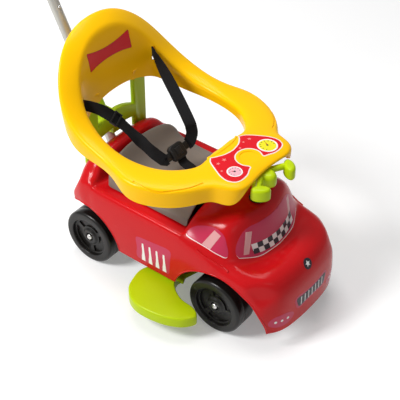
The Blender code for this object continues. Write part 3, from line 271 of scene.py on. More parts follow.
# Steering
COLUMN_R = 0.007
COLUMN_FOOT_Z = 0.066 + AXLE_R + GAP
COLUMN_TOP_Z = 0.2850
BUSH_R = 0.0135
BUSH_FLANGE_R = 0.0175
BUSH_Z = 0.2475
BUSH_HEIGHT = 0.0075
BUSH_SEAT = 0.0055
BUSH_DEPTH = 0.010
HUB_BOTTOM_Z = 0.2558
HUB_NECK_Z = 0.295
HUB_TOP_Z = 0.3255
HUB_HALF = 0.0130
HUB_DEPTH = 0.018
HUB_Y = -0.172
HUB_ROUND = 0.0015
LEAF_HALF = 0.018
LEAF_DEPTH = 0.0290
LEAF_Y = -0.177
LEAF_ROUND = 0.0095
BAR_Z = 0.3185
BAR_Y = -0.176
BAR_END_Y = -0.198
BAR_R = 0.0065
GRIP_X = 0.047
GRIP_Y = -0.205
GRIP_LONG = 0.019
GRIP_THICK = 0.0108
GRIP_SWEEP = radians(52)
GRIP_BOTTOM_Z = 0.2965
GRIP_TOP_Z = 0.3250
GRIP_ROUND = 0.0088

# Footrests
PETAL_TOP_Z = 0.0620
PETAL_THICK = 0.026
PETAL_WALL = 0.0035
PETAL_ROUND = 0.0042
PETAL_PIVOT_X = 0.105
PETAL_PIVOT_Y = -0.043
PIVOT_BOSS_R = 0.013
PIVOT_R = 0.004
PIVOT_HEAD_R = 0.009
PIVOT_HEAD_THICK = 0.003
PETAL_OUTLINE = (
    (-0.013, 0.049), (0.010, 0.024), (0.017, 0.007), (0.007, -0.010), (-0.019, -0.017),
    (-0.038, -0.033), (-0.052, -0.060), (-0.056, -0.091), (-0.065, -0.108), (-0.077, -0.111),
    (-0.099, -0.093), (-0.115, -0.056), (-0.1205, -0.010), (-0.114, 0.020), (-0.099, 0.040),
    (-0.081, 0.052), (-0.041, 0.061),
)

# Sticker films: how far apart their inner points are, and how far off their rays start
FILM_PITCH = 0.004
FILM_REACH = 0.06
TRAY_PITCH = 0.005
DIAL_PITCH = 0.006

# Harness
STRAP_WIDTH = 0.024
STRAP_THICK = 0.0018
STRAP_SECTION = ((0.0, 0.88), (0.4, 0.86), (0.84, 0.82), (0.90, 1.0), (0.97, 0.85), (1.0, 0.35))
BUCKLE_Y = 0.034
BUCKLE_Z = 0.271
BUCKLE_TILT = radians(47)
BUCKLE_WIDTH = 0.038
BUCKLE_LENGTH = 0.034
BUCKLE_THICK = 0.012
BUCKLE_ROUND = 0.0026
RELEASE_WIDTH = 0.015
RELEASE_LENGTH = 0.017
RELEASE_PROUD = 0.002
RELEASE_TRAVEL = 0.003
RELEASE_ROUND = 0.0014
TONGUE_LENGTH = 0.013
TONGUE_HALF = 0.0085
TONGUE_THICK = 0.0044
TONGUE_ROUND = 0.0016
SLIDE_AT = 108
SLIDE_HALF = 0.0088
SLIDE_BAR = 0.0017
SLIDE_RAIL = 0.0014
SLIDE_ROUND = 0.0008
LEFT_STRAP = ((0.120, 0.206, 0.398), (0.103, 0.175, 0.392), (0.075, 0.102, 0.351),
              (0.049, 0.044, 0.318), (0.0475, 0.035, 0.301), (0.0465, 0.033, 0.288))
RIGHT_STRAP = ((-0.120, 0.196, 0.381), (-0.103, 0.171, 0.378), (-0.088, 0.145, 0.368),
               (-0.070, 0.120, 0.343), (-0.055, 0.088, 0.309), (-0.048, 0.055, 0.286))
STRAP_LEAD = 0.007
CROTCH_STRAP = ((0, STRAP_SLOT_Y + 0.010, 0.244), (0, STRAP_SLOT_Y + 0.001, 0.231),
                (0, STRAP_SLOT_Y, 0.216))
CROTCH_END = (0, STRAP_SLOT_Y, PLATEAU_Z + 0.0015)
UPRIGHT = (0, 0, 1)
BUCKLE_ACROSS = (0, -cos(BUCKLE_TILT), -sin(BUCKLE_TILT))
LEFT_FACE = (0.70, -0.65, 0.25)
LEFT_TURNS = (UPRIGHT, UPRIGHT, LEFT_FACE, LEFT_FACE, LEFT_FACE, (0.35, -0.67, -0.24),
              BUCKLE_ACROSS)
BUCKLE_UP = (0, cos(BUCKLE_TILT), sin(BUCKLE_TILT))
RIGHT_TURNS = (UPRIGHT, BUCKLE_UP, BUCKLE_UP)

# The photograph's camera, about the wheelbase's middle
CAMERA_TARGET = (-0.0009, -0.0256, 0.1752)
CAMERA_DISTANCE = 2.217
CAMERA_AZIMUTH = radians(-51.9)
CAMERA_ELEVATION = radians(39.46)
CAMERA_ROLL = radians(0.16)
CAMERA_LENS = 97.66


def colour_property(name, text, value):
    return FloatVectorProperty(name=name, description=text, default=value, subtype="COLOR",
                               size=3, min=0.0, max=1.0)


class CarColours(bpy.types.PropertyGroup):
    red: colour_property("Shell red", "Moulded colour of the car's shell", (0.56, 0.006, 0.009))
    yellow: colour_property("Ring yellow", "Moulded colour of the guard ring", (0.98, 0.53, 0.001))
    lime: colour_property("Lime", "Moulded colour of footrests and handles", (0.47, 0.62, 0.003))
    leaf: colour_property("Leaf green", "Moulded colour of the back frame", (0.42, 0.60, 0.005))
    grey: colour_property("Seat grey", "Moulded colour of the seat", (0.20, 0.170, 0.145))
    black: colour_property("Black", "Wheels, buckle and hidden mouldings", (0.0075, 0.0065, 0.0058))
    steel: colour_property("Tube", "Lacquered push tube", (0.50, 0.495, 0.46))
    webbing: colour_property("Webbing", "Harness webbing", (0.0055, 0.0052, 0.0055))
    rose: colour_property("Rose", "Window and lamp stickers", (0.54, 0.030, 0.085))
    pale: colour_property("Pale", "Light bands and borders on the stickers", (0.86, 0.72, 0.70))
    sticker_red: colour_property("Sticker red", "Tray and backrest stickers", (0.66, 0.004, 0.012))


class CarSizes(bpy.types.PropertyGroup):
    smoothness: IntProperty(name="Smoothness", description="Subdivision of the moulded shells",
                            default=3, min=1, max=4)
    sticker: FloatProperty(name="Sticker thickness", description="Thickness of a sticker's film",
                           default=0.00022, min=0.0001, max=0.001, unit="LENGTH")
    pocket_depth: FloatProperty(name="Wheel pocket depth", default=0.0030, min=0.0, max=0.004,
                                description="Depth of the wheels' pockets", unit="LENGTH")
    pocket_count: IntProperty(name="Wheel pockets", description="Pockets round each wheel's face",
                              default=3, min=3, max=9)
    lip: FloatProperty(name="Arch lip", default=0.0022, min=0.0005, max=0.004, unit="LENGTH",
                       description="Radius of the rolled edge round the wheel arches")


def colours():
    return bpy.context.scene.car_colours


def sizes():
    return bpy.context.scene.car_sizes


# Shader node groups

def group_socket(group, name, kind, way, value=None):
    made = group.interface.new_socket(name=name, in_out=way, socket_type=f"NodeSocket{kind}")
    if value is not None:
        made.default_value = value
    return made


def node(tree, kind, links=None, **values):
    made = tree.nodes.new(f"ShaderNode{kind}")
    for key, value in values.items():
        setattr(made, key, value)
    for socket, source in (links or {}).items():
        if isinstance(source, bpy.types.NodeSocket):
            tree.links.new(source, made.inputs[socket])
        else:
            made.inputs[socket].default_value = source
    return made


def math(tree, operation, *terms):
    return node(tree, "Math", dict(enumerate(terms)), operation=operation).outputs[0]


def mix_colour(tree, share, first, second, blend="MIX"):
    made = node(tree, "Mix", {0: share}, data_type="RGBA", blend_type=blend)
    for socket, source in ((6, first), (7, second)):
        if isinstance(source, bpy.types.NodeSocket):
            tree.links.new(source, made.inputs[socket])
        else:
            made.inputs[socket].default_value = source
    return made.outputs[2]


def new_group(name, inputs, outputs):
    group = bpy.data.node_groups.new(name, "ShaderNodeTree")
    for label, kind, value in inputs:
        group_socket(group, label, kind, "INPUT", value)
    for label, kind in outputs:
        group_socket(group, label, kind, "OUTPUT")
    given = group.nodes.new("NodeGroupInput").outputs
    return group, given, group.nodes.new("NodeGroupOutput").inputs


def moulded_group():
    """Injection-moulded plastic: faint flow marks in its colour, a fine skin and small scuffs."""
    group, given, made = new_group(
        "moulded_skin",
        (("Colour", "Color", (0.5, 0.5, 0.5, 1.0)), ("Roughness", "Float", 0.3),
         ("Mottle", "Float", 0.06), ("Grain size", "Float", 0.002), ("Grain depth", "Float", 0.1),
         ("Scuffs", "Float", 0.2)),
        (("Colour", "Color"), ("Roughness", "Float"), ("Normal", "Vector")))
    place = node(group, "TexCoord").outputs["Object"]
    flow = node(group, "TexNoise", {"Vector": place, "Scale": 9.0, "Detail": 3.0}).outputs[0]
    swing = math(group, "MULTIPLY", math(group, "SUBTRACT", flow, 0.5), given["Mottle"])
    value = math(group, "ADD", 1.0, swing)
    tint = node(group, "HueSaturation", {"Color": given["Colour"], "Value": value}).outputs[0]
    stretch = node(group, "Mapping", {"Vector": place, "Scale": (260.0, 30.0, 160.0),
                                      "Rotation": (0.3, 0.5, 0.8)}).outputs[0]
    lines = node(group, "TexNoise", {"Vector": stretch, "Scale": 1.0, "Detail": 2.0}).outputs[0]
    fine = node(group, "MapRange", {"Value": lines, "From Min": 0.64, "From Max": 0.78}).outputs[0]
    patches = node(group, "TexNoise", {"Vector": place, "Scale": 22.0, "Detail": 2.0}).outputs[0]
    where = node(group, "MapRange", {"Value": patches, "From Min": 0.5, "From Max": 0.7}).outputs[0]
    scuff = math(group, "MULTIPLY", math(group, "MULTIPLY", fine, where), given["Scuffs"])
    group.links.new(mix_colour(group, math(group, "MULTIPLY", scuff, 0.12), tint,
                               (0.8, 0.8, 0.8, 1.0)), made["Colour"])
    rough = math(group, "ADD", given["Roughness"], math(group, "MULTIPLY", scuff, 0.3))
    rough = math(group, "ADD", rough, math(group, "MULTIPLY", swing, 0.5))
    group.links.new(rough, made["Roughness"])
    size = math(group, "DIVIDE", 1.0, given["Grain size"])
    grain = node(group, "TexNoise", {"Vector": place, "Scale": size, "Detail": 2.0}).outputs[0]
    bump = node(group, "Bump", {"Strength": given["Grain depth"], "Distance": 0.0004,
                                "Height": grain})
    group.links.new(bump.outputs[0], made["Normal"])
    return group


def woven_group():
    """Narrow webbing: ribs across and a herringbone along, from the strap's own grid; the raised
    ribs carry a painted sheen.
    """
    group, given, made = new_group(
        "woven_ribs",
        (("Colour", "Color", (0.01, 0.01, 0.01, 1.0)), ("Across", "Float", 14.0),
         ("Along", "Float", 1.0), ("Painted sheen", "Float", 0.3)),
        (("Colour", "Color"), ("Roughness", "Float"), ("Normal", "Vector")))
    grid = node(group, "UVMap", uv_map="strap").outputs[0]
    parts = node(group, "SeparateXYZ", {"Vector": grid}).outputs
    along = math(group, "MULTIPLY", parts[1], given["Along"])
    across = math(group, "MULTIPLY", parts[0], given["Across"])
    fold = math(group, "PINGPONG", across, 1.0)
    rib = math(group, "SINE", math(group, "ADD", math(group, "MULTIPLY", along, 2 * pi),
                                   math(group, "MULTIPLY", fold, 3.0)))
    ridge = math(group, "SINE", math(group, "MULTIPLY", across, 2 * pi))
    height = math(group, "ADD", math(group, "MULTIPLY", rib, 0.5),
                  math(group, "MULTIPLY", ridge, 0.3))
    # Painted sheen: the higher parts of the weave are painted a lighter colour, as if the light
    # caught them.
    lit = node(group, "MapRange", {"Value": height, "From Min": -0.8, "From Max": 0.8}).outputs[0]
    bright = mix_colour(group, given["Painted sheen"], given["Colour"], (0.035, 0.035, 0.038, 1.0))
    group.links.new(mix_colour(group, lit, given["Colour"], bright), made["Colour"])
    rough = math(group, "SUBTRACT", 0.85, math(group, "MULTIPLY", lit, 0.2))
    group.links.new(rough, made["Roughness"])
    bump = node(group, "Bump", {"Strength": 0.7, "Distance": 0.0003, "Height": height})
    group.links.new(bump.outputs[0], made["Normal"])
    return group


def drawn_group():
    """Drawn metal: fine lines along Z with a faint change of tone."""
    group, given, made = new_group(
        "drawn_metal",
        (("Colour", "Color", (0.6, 0.6, 0.6, 1.0)), ("Roughness", "Float", 0.3),
         ("Line width", "Float", 0.0006)),
        (("Colour", "Color"), ("Roughness", "Float"), ("Normal", "Vector")))
    place = node(group, "TexCoord").outputs["Object"]
    lines = node(group, "Mapping", {"Vector": place, "Scale": (1.0, 1.0, 0.02)}).outputs[0]
    size = math(group, "DIVIDE", 1.0, given["Line width"])
    grain = node(group, "TexNoise", {"Vector": lines, "Scale": size, "Detail": 2.0}).outputs[0]
    cloud = node(group, "TexNoise", {"Vector": place, "Scale": 14.0, "Detail": 3.0}).outputs[0]
    dark = mix_colour(group, math(group, "MULTIPLY", cloud, 0.14), given["Colour"],
                      (0.3, 0.3, 0.3, 1.0))
    group.links.new(dark, made["Colour"])
    rough = math(group, "ADD", given["Roughness"], math(group, "MULTIPLY", grain, 0.12))
    group.links.new(rough, made["Roughness"])
    bump = node(group, "Bump", {"Strength": 0.12, "Distance": 0.0002, "Height": grain})
    group.links.new(bump.outputs[0], made["Normal"])
    return group


GROUPS = {}
MATERIALS = {}

# Each finish: the record's slot, the shared group, its colour, the shader's and the group's values
FINISHES = {
    "shell_red": ("red_plastic", "moulded", "red", {"IOR": 1.5, "Specular IOR Level": 0.17},
                  {"Roughness": 0.17, "Grain depth": 0.05}),
    "ring_yellow": ("yellow_plastic", "moulded", "yellow", {"IOR": 1.5, "Specular IOR Level": 0.13},
                    {"Roughness": 0.24, "Grain depth": 0.05, "Mottle": 0.05, "Scuffs": 0.1}),
    "lime_plastic": ("lime_plastic", "moulded", "lime", {"IOR": 1.48, "Specular IOR Level": 0.18},
                     {"Roughness": 0.30, "Grain depth": 0.10, "Mottle": 0.06}),
    "leaf_plastic": ("lime_plastic", "moulded", "leaf", {"IOR": 1.48, "Specular IOR Level": 0.25},
                     {"Roughness": 0.36, "Grain depth": 0.10, "Mottle": 0.08}),
    "seat_grey": ("grey_plastic", "moulded", "grey", {"IOR": 1.46, "Specular IOR Level": 0.3},
                  {"Roughness": 0.42, "Grain depth": 0.55, "Grain size": 0.0013, "Mottle": 0.10,
                   "Scuffs": 0.5}),
    "wheel_black": ("black_plastic", "moulded", "black", {"IOR": 1.5, "Specular IOR Level": 0.30},
                    {"Roughness": 0.30, "Grain depth": 0.12, "Mottle": 0.3, "Scuffs": 0.8}),
    "frame_black": ("black_plastic", "moulded", "black", {"IOR": 1.46, "Specular IOR Level": 0.3},
                    {"Roughness": 0.48, "Grain depth": 0.35, "Grain size": 0.0012, "Mottle": 0.3,
                     "Scuffs": 0.4}),
    "buckle_black": ("black_plastic", "moulded", "black", {"IOR": 1.48, "Specular IOR Level": 0.3},
                     {"Roughness": 0.38, "Grain depth": 0.25, "Grain size": 0.0009, "Mottle": 0.2,
                      "Scuffs": 0.4}),
    "tube_lacquer": ("steel", "drawn", "steel", {"Metallic": 0.55, "Specular IOR Level": 0.4},
                     {"Roughness": 0.30}),
    "bright_steel": ("steel", "drawn", "bright", {"Metallic": 1.0}, {"Roughness": 0.2}),
    "strap_webbing": ("black_webbing", "woven", "webbing", {"Specular IOR Level": 0.12},
                      {"Across": 7.0, "Along": 900.0, "Painted sheen": 0.18}),
}
FILM_SOCKETS = {"IOR": 1.5, "Specular IOR Level": 0.25}
FILM_VALUES = {"Roughness": 0.25, "Grain depth": 0.04, "Mottle": 0.04, "Scuffs": 0.15}
# One pale pink tone here is painted glare: reflections laid on the windows as sticker film.
TONES = {
    "bright": (0.70, 0.69, 0.67), "painted_glare": (0.72, 0.36, 0.36), "ink": (0.03, 0.02, 0.03),
    "white": (0.86, 0.84, 0.82), "pink": (0.80, 0.42, 0.48), "lemon": (0.80, 0.72, 0.02),
    "needle": (0.5, 0.01, 0.02), "blush": (0.80, 0.24, 0.22), "deep_red": (0.32, 0.004, 0.006),
}


def shared_group(name):
    if name not in GROUPS:
        maker = {"moulded": moulded_group, "woven": woven_group, "drawn": drawn_group}[name]
        GROUPS[name] = maker()
    return GROUPS[name]


def tone(name):
    """A colour of the panel, or one of the small fixed ones."""
    return TONES[name] if name in TONES else getattr(colours(), name)


def surface(name):
    """A Principled material fed by one shared group, made once."""
    if name in MATERIALS:
        return MATERIALS[name]
    if name in FINISHES:
        _, kind, colour, sockets, values = FINISHES[name]
    else:
        kind, colour = "moulded", name.removeprefix("film_")
        sockets, values = FILM_SOCKETS, FILM_VALUES
    made = bpy.data.materials.new(name)
    made.use_nodes = True
    tree = made.node_tree
    shader = tree.nodes["Principled BSDF"]
    feed = tree.nodes.new("ShaderNodeGroup")
    feed.node_tree = shared_group(kind)
    feed.inputs["Colour"].default_value = (*tone(colour), 1.0)
    for key, value in values.items():
        feed.inputs[key].default_value = value
    for key, value in sockets.items():
        shader.inputs[key].default_value = value
    tree.links.new(feed.outputs["Colour"], shader.inputs["Base Color"])
    tree.links.new(feed.outputs["Roughness"], shader.inputs["Roughness"])
    tree.links.new(feed.outputs["Normal"], shader.inputs["Normal"])
    made.diffuse_color = (*tone(colour), 1.0)
    MATERIALS[name] = made
    return made


# Mesh helpers

def mesh_from(bm, name):
    bmesh.ops.recalc_face_normals(bm, faces=bm.faces)
    mesh = bpy.data.meshes.new(name)
    bm.to_mesh(mesh)
    bm.free()
    return mesh


def loose(name, mesh):
    made = bpy.data.objects.new(name, mesh)
    bpy.context.scene.collection.objects.link(made)
    return made


def baked(item):
    """The item's mesh with its modifiers applied; the item itself goes."""
    bpy.context.view_layer.update()
    graph = bpy.context.evaluated_depsgraph_get()
    mesh = bpy.data.meshes.new_from_object(item.evaluated_get(graph))
    bpy.data.objects.remove(item)
    return mesh


def subdivided(item, levels):
    step = item.modifiers.new("smooth", "SUBSURF")
    step.levels = levels
    step.render_levels = levels
    return item


def walled(item, thickness):
    step = item.modifiers.new("wall", "SOLIDIFY")
    step.thickness = thickness
    step.offset = -1.0
    step.use_even_offset = True
    return item


def bevelled(item, width, segments=4, angle=40):
    step = item.modifiers.new("edges", "BEVEL")
    step.width = width
    step.segments = segments
    step.limit_method = "ANGLE"
    step.angle_limit = radians(angle)
    return item


def joined(item, cutter_mesh, operation="DIFFERENCE"):
    """Cuts or joins with another mesh and gives the new item."""
    cutter = loose("cutter", cutter_mesh)
    step = item.modifiers.new("cut", "BOOLEAN")
    step.operation = operation
    step.object = cutter
    name = item.name
    mesh = baked(item)
    bpy.data.objects.remove(cutter)
    return loose(name, mesh)


def merged(name, meshes):
    """Several meshes in one, each part kept loose."""
    bm = bmesh.new()
    for mesh in meshes:
        bm.from_mesh(mesh)
    made = bpy.data.meshes.new(name)
    bm.to_mesh(made)
    bm.free()
    return made


def box_mesh(low, high, matrix=None):
    bm = bmesh.new()
    bmesh.ops.create_cube(bm, size=1.0)
    size = [b - a for a, b in zip(low, high)]
    middle = [(a + b) / 2 for a, b in zip(low, high)]
    bmesh.ops.scale(bm, vec=size, verts=bm.verts)
    bmesh.ops.translate(bm, vec=middle, verts=bm.verts)
    if matrix is not None:
        bmesh.ops.transform(bm, matrix=matrix, verts=bm.verts)
    return mesh_from(bm, "box")


def cylinder_mesh(radius, start, end, segments=48):
    bm = bmesh.new()
    way = Vector(end) - Vector(start)
    middle = (Vector(end) + Vector(start)) / 2
    turn = way.to_track_quat("Z", "Y").to_matrix().to_4x4()
    bmesh.ops.create_cone(bm, cap_ends=True, segments=segments, radius1=radius, radius2=radius,
                          depth=way.length, matrix=Matrix.Translation(middle) @ turn)
    return mesh_from(bm, "cylinder")


def turned_mesh(profile, steps=64, matrix=None):
    """A closed profile of (radius, height) turned about Z."""
    bm = bmesh.new()
    rings = []
    for radius, height in profile:
        if radius < 1e-6:
            rings.append([bm.verts.new((0.0, 0.0, height))] * steps)
        else:
            rings.append([bm.verts.new((radius * cos(2 * pi * k / steps),
                                        radius * sin(2 * pi * k / steps), height))
                          for k in range(steps)])
    pairs = list(zip(rings, rings[1:]))
    if profile[0][0] > 1e-6:
        pairs.append((rings[-1], rings[0]))
    for near, far in pairs:
        for k in range(steps):
            n = (k + 1) % steps
            corners = [near[k], near[n], far[n], far[k]]
            face = [v for i, v in enumerate(corners) if v not in corners[:i]]
            if len(face) > 2:
                bm.faces.new(face)
    if matrix is not None:
        bmesh.ops.transform(bm, matrix=matrix, verts=bm.verts)
    return mesh_from(bm, "turned")


def prism_mesh(outline, low, high):
    bm = bmesh.new()
    face = bm.faces.new([bm.verts.new((x, y, low)) for x, y in outline])
    grown = bmesh.ops.extrude_face_region(bm, geom=[face])
    lifted = [part for part in grown["geom"] if isinstance(part, bmesh.types.BMVert)]
    bmesh.ops.translate(bm, vec=(0, 0, high - low), verts=lifted)
    return mesh_from(bm, "prism")


def soft_prism(outline, low, high, width, segments=4, matrix=None):
    """A prism with rounded rims, its walls left as drawn."""
    item = bevelled(loose("soft", prism_mesh(outline, low, high)), width, segments, 60)
    mesh = baked(item)
    if matrix is not None:
        mesh.transform(matrix)
    return mesh


def curve_through(points, count, closed=False):
    """Even steps along a Catmull-Rom curve through the points."""
    points = [Vector(p) for p in points]
    last = len(points)
    spans = last if closed else last - 1
    found = []
    for k in range(count):
        at = k * spans / (count if closed else count - 1)
        i = min(int(at), spans - 1)
        t = at - i
        if closed:
            a, b, c, d = (points[(i + n) % last] for n in (-1, 0, 1, 2))
        else:
            a, b, c, d = (points[min(max(i + n, 0), last - 1)] for n in (-1, 0, 1, 2))
        found.append(0.5 * (2 * b + (c - a) * t + (2 * a - 5 * b + 4 * c - d) * t * t
                            + (3 * b - a - 3 * c + d) * t ** 3))
    return found


def tube_mesh(points, radius, sides=12):
    """A round rod along the points, closed at both ends."""
    bm = bmesh.new()
    rings = []
    last = len(points) - 1
    across = None
    for k, point in enumerate(points):
        along = (points[min(k + 1, last)] - points[max(k - 1, 0)]).normalized()
        if across is None:
            across = along.orthogonal().normalized()
        across = (across - along * across.dot(along)).normalized()
        other = along.cross(across)
        rings.append([bm.verts.new(point + radius * (cos(2 * pi * j / sides) * across
                                                     + sin(2 * pi * j / sides) * other))
                      for j in range(sides)])
    for near, far in zip(rings, rings[1:]):
        for j in range(sides):
            n = (j + 1) % sides
            bm.faces.new((near[j], near[n], far[n], far[j]))
    bm.faces.new(list(reversed(rings[0])))
    bm.faces.new(rings[-1])
    return mesh_from(bm, "rod")


def grid_faces(bm, rows, closed=False):
    last = len(rows) if closed else len(rows) - 1
    for i in range(last):
        near, far = rows[i], rows[(i + 1) % len(rows)]
        for j in range(len(near) - 1):
            bm.faces.new((near[j], near[j + 1], far[j + 1], far[j]))


def settle(bm, rounds):
    """Moves a cage's vertices out, so that its smoothed surface passes near where they were."""
    goals = {vert: vert.co.copy() for vert in bm.verts}
    for _ in range(rounds):
        landed = {}
        for vert in bm.verts:
            if vert.is_boundary:
                ends = [edge.other_vert(vert).co for edge in vert.link_edges if edge.is_boundary]
                landed[vert] = (vert.co * 4 + ends[0] + ends[1]) / 6
                continue
            n = len(vert.link_edges)
            faces = sum((face.calc_center_median() for face in vert.link_faces), Vector())
            others = sum((edge.other_vert(vert).co for edge in vert.link_edges), Vector())
            first = (faces / n + vert.co + others / n + (n - 3) * vert.co) / n
            landed[vert] = (n * n * first + n * vert.co + others + 3 * faces) / (n * (n + 5))
        for vert, spot in landed.items():
            vert.co += goals[vert] - spot


def finished(name, mesh, body, look, replaced=(), angle=35):
    """The finished piece: moved to the frame, smooth-shaded, dressed and riding."""
    mesh.transform(Matrix.Translation((0.0, MIDDLE_Y, 0.0)))
    mesh.shade_smooth()
    mesh.set_sharp_from_angle(angle=radians(angle))
    mesh.materials.clear()
    mesh.materials.append(surface(look))
    made = loose(name, mesh)
    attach(made, body)
    if replaced:
        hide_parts(*replaced)
    return made


def surface_of(*items):
    """A search tree of finished pieces, in the frame's place."""
    verts, faces = [], []
    for item in items:
        start = len(verts)
        verts += [v.co.copy() for v in item.data.vertices]
        faces += [[start + i for i in p.vertices] for p in item.data.polygons]
    return BVHTree.FromPolygons(verts, faces)


class Sheet:
    """A flat drawing plane over a piece: origin, across and up, looking along its normal."""

    def __init__(self, origin, across, up):
        self.origin = Vector(origin)
        self.across = Vector(across).normalized()
        self.up = (Vector(up) - self.across * Vector(up).dot(self.across)).normalized()
        self.normal = self.across.cross(self.up)

    def flat(self, points):
        return [Vector(((Vector(p) - self.origin).dot(self.across),
                        (Vector(p) - self.origin).dot(self.up))) for p in points]

    def spot(self, x, y, height=0.0):
        return self.origin + self.across * x + self.up * y + self.normal * height


def rounded(points, radius, steps=5):
    """A flat outline with its corners rounded."""
    found = []
    count = len(points)
    for k, here in enumerate(points):
        here = Vector(here)
        before, after = Vector(points[k - 1]), Vector(points[(k + 1) % count])
        room = min(radius, (before - here).length * 0.45, (after - here).length * 0.45)
        start = here + (before - here).normalized() * room
        end = here + (after - here).normalized() * room
        for s in range(steps + 1):
            t = s / steps
            found.append((1 - t) ** 2 * start + 2 * t * (1 - t) * here + t * t * end)
    return found


def disc(x, y, radius, other=None, count=40, turn=0.0):
    tall = radius if other is None else other
    found = []
    for k in range(count):
        a = 2 * pi * k / count
        u, v = radius * cos(a), tall * sin(a)
        found.append(Vector((x + u * cos(turn) - v * sin(turn), y + u * sin(turn) + v * cos(turn))))
    return found


def star(x, y, radius, inner=0.45, points=5, turn=pi / 2):
    return [Vector((x + cos(turn + pi * k / points) * radius * (inner if k % 2 else 1.0),
                    y + sin(turn + pi * k / points) * radius * (inner if k % 2 else 1.0)))
            for k in range(points * 2)]


def filled(outline, pitch):
    """Triangles of a flat outline, with inner points at the pitch so it can follow a surface."""
    spots = [p.to_2d() for p in outline]
    edges = [(k, (k + 1) % len(outline)) for k in range(len(outline))]
    low = Vector((min(p.x for p in outline), min(p.y for p in outline)))
    high = Vector((max(p.x for p in outline), max(p.y for p in outline)))
    for i in range(1, int((high.x - low.x) / pitch) + 1):
        for j in range(1, int((high.y - low.y) / pitch) + 1):
            spots.append(Vector((low.x + i * pitch, low.y + j * pitch * 0.98)))
    inner_triangles = 1
    found = delaunay_2d_cdt(spots, edges, [], inner_triangles, 1e-6)
    return found[0], found[2]


class Stickers:
    """Thin films on one piece: flat outlines thrown on it along a drawing plane's normal."""

    def __init__(self, item, slot):
        self.tree = surface_of(item)
        self.slot = slot
        self.plane = None

    def lay(self, name, outline, colour, layer=1, pitch=FILM_PITCH):
        plane = self.plane
        spots, faces = filled(outline, pitch)
        shift = Vector((0.0, MIDDLE_Y, 0.0))
        bm = bmesh.new()
        verts = []
        lift = sizes().sticker * layer
        for spot in spots:
            start = plane.spot(spot.x, spot.y, FILM_REACH) + shift
            hit, normal, _, _ = self.tree.ray_cast(start, -plane.normal)
            if hit is None:
                hit, normal, _, _ = self.tree.find_nearest(plane.spot(spot.x, spot.y) + shift)
            if normal.dot(plane.normal) < 0:
                normal = -normal
            verts.append(bm.verts.new(hit + normal * lift - shift))
        for face in faces:
            bm.faces.new([verts[i] for i in face])
        bmesh.ops.delete(bm, geom=[v for v in bm.verts if not v.link_faces], context="VERTS")
        for face in bm.faces:
            face.normal_update()
        if sum((f.normal * f.calc_area() for f in bm.faces), Vector()).dot(plane.normal) < 0:
            bmesh.ops.reverse_faces(bm, faces=bm.faces)
        mesh = bpy.data.meshes.new(name)
        bm.to_mesh(mesh)
        bm.free()
        item = walled(loose("film", mesh), sizes().sticker * (layer + 0.6))
        finished(name, baked(item), "car_body", f"film_{colour}")


# Shell, seat and ring

def rim_height(y):
    if y < FRONT_Y + 0.005:
        return NOSE_RIM_Z
    return SILL_Z if y < REAR_Y else TAIL_RIM_Z


def body_cage():
    bm = bmesh.new()
    shares = [-f for f in reversed(ACROSS[1:])] + list(ACROSS)
    top = []
    for y, half, lag, power, heights in BODY_ROWS:
        levels = list(reversed(heights[1:])) + list(heights)
        top.append([bm.verts.new((f * half, y + lag * abs(f) ** power, z))
                    for f, z in zip(shares, levels)])
    grid_faces(bm, top)
    left, right = [row[-1] for row in top], [row[0] for row in top]
    edge = top[0][:-1] + left[:-1] + top[-1][:0:-1] + right[:0:-1]
    corners = {top[0][0], top[0][-1], top[-1][0], top[-1][-1]}
    above = edge
    for out, share in BODY_RINGS:
        ring = []
        for k, vert in enumerate(edge):
            x, y, z = vert.co
            along = edge[(k + 1) % len(edge)].co - edge[k - 1].co
            normal = Vector((along.y, -along.x, 0.0)).normalized()
            reach = out * (CORNER_REACH if vert in corners else 1.0)
            ring.append(bm.verts.new((x + normal.x * reach, y + normal.y * reach,
                                      z + (rim_height(y) - z) * share)))
        for k in range(len(edge)):
            n = (k + 1) % len(edge)
            bm.faces.new((above[k], above[n], ring[n], ring[k]))
        above = ring
    settle(bm, 2)
    return mesh_from(bm, "body_shell")


def tube_point(z):
    """The push tube's middle line at a height."""
    return Vector((0.0, TUBE_REF_Y + (z - TUBE_REF_Z) * tan(TUBE_LEAN), z))


def post_mesh(side, grow, low, high):
    x, half, deep = side * POST_X, POST_WIDTH / 2 + grow, POST_DEPTH / 2 + grow
    return box_mesh((x - half, POST_Y - deep, low), (x + half, POST_Y + deep, high))


def post_sockets(name, look, outer, inner):
    """Sleeves round both posts: foot and top of the block, then of its hole."""
    sleeves = []
    for side in (-1, 1):
        block = loose("socket", post_mesh(side, SOCKET_WALL, *outer))
        sleeves.append(baked(joined(block, post_mesh(side, GAP, *inner))))
    finished(name, merged(name, sleeves), "car_body", look)


def flank_spot(tree, side, y, z):
    """Where a flank's outer face is at a height and a place along the car, in the frame."""
    return tree.ray_cast(Vector((side * BESIDE, y + MIDDLE_Y, z)), Vector((-side, 0, 0)))[0]


def top_spot(tree, x, y):
    """Where the tree's upper face is, straight below a place above the ring."""
    return tree.ray_cast(Vector((x, y, ABOVE)), Vector((0, 0, -1)))[0]


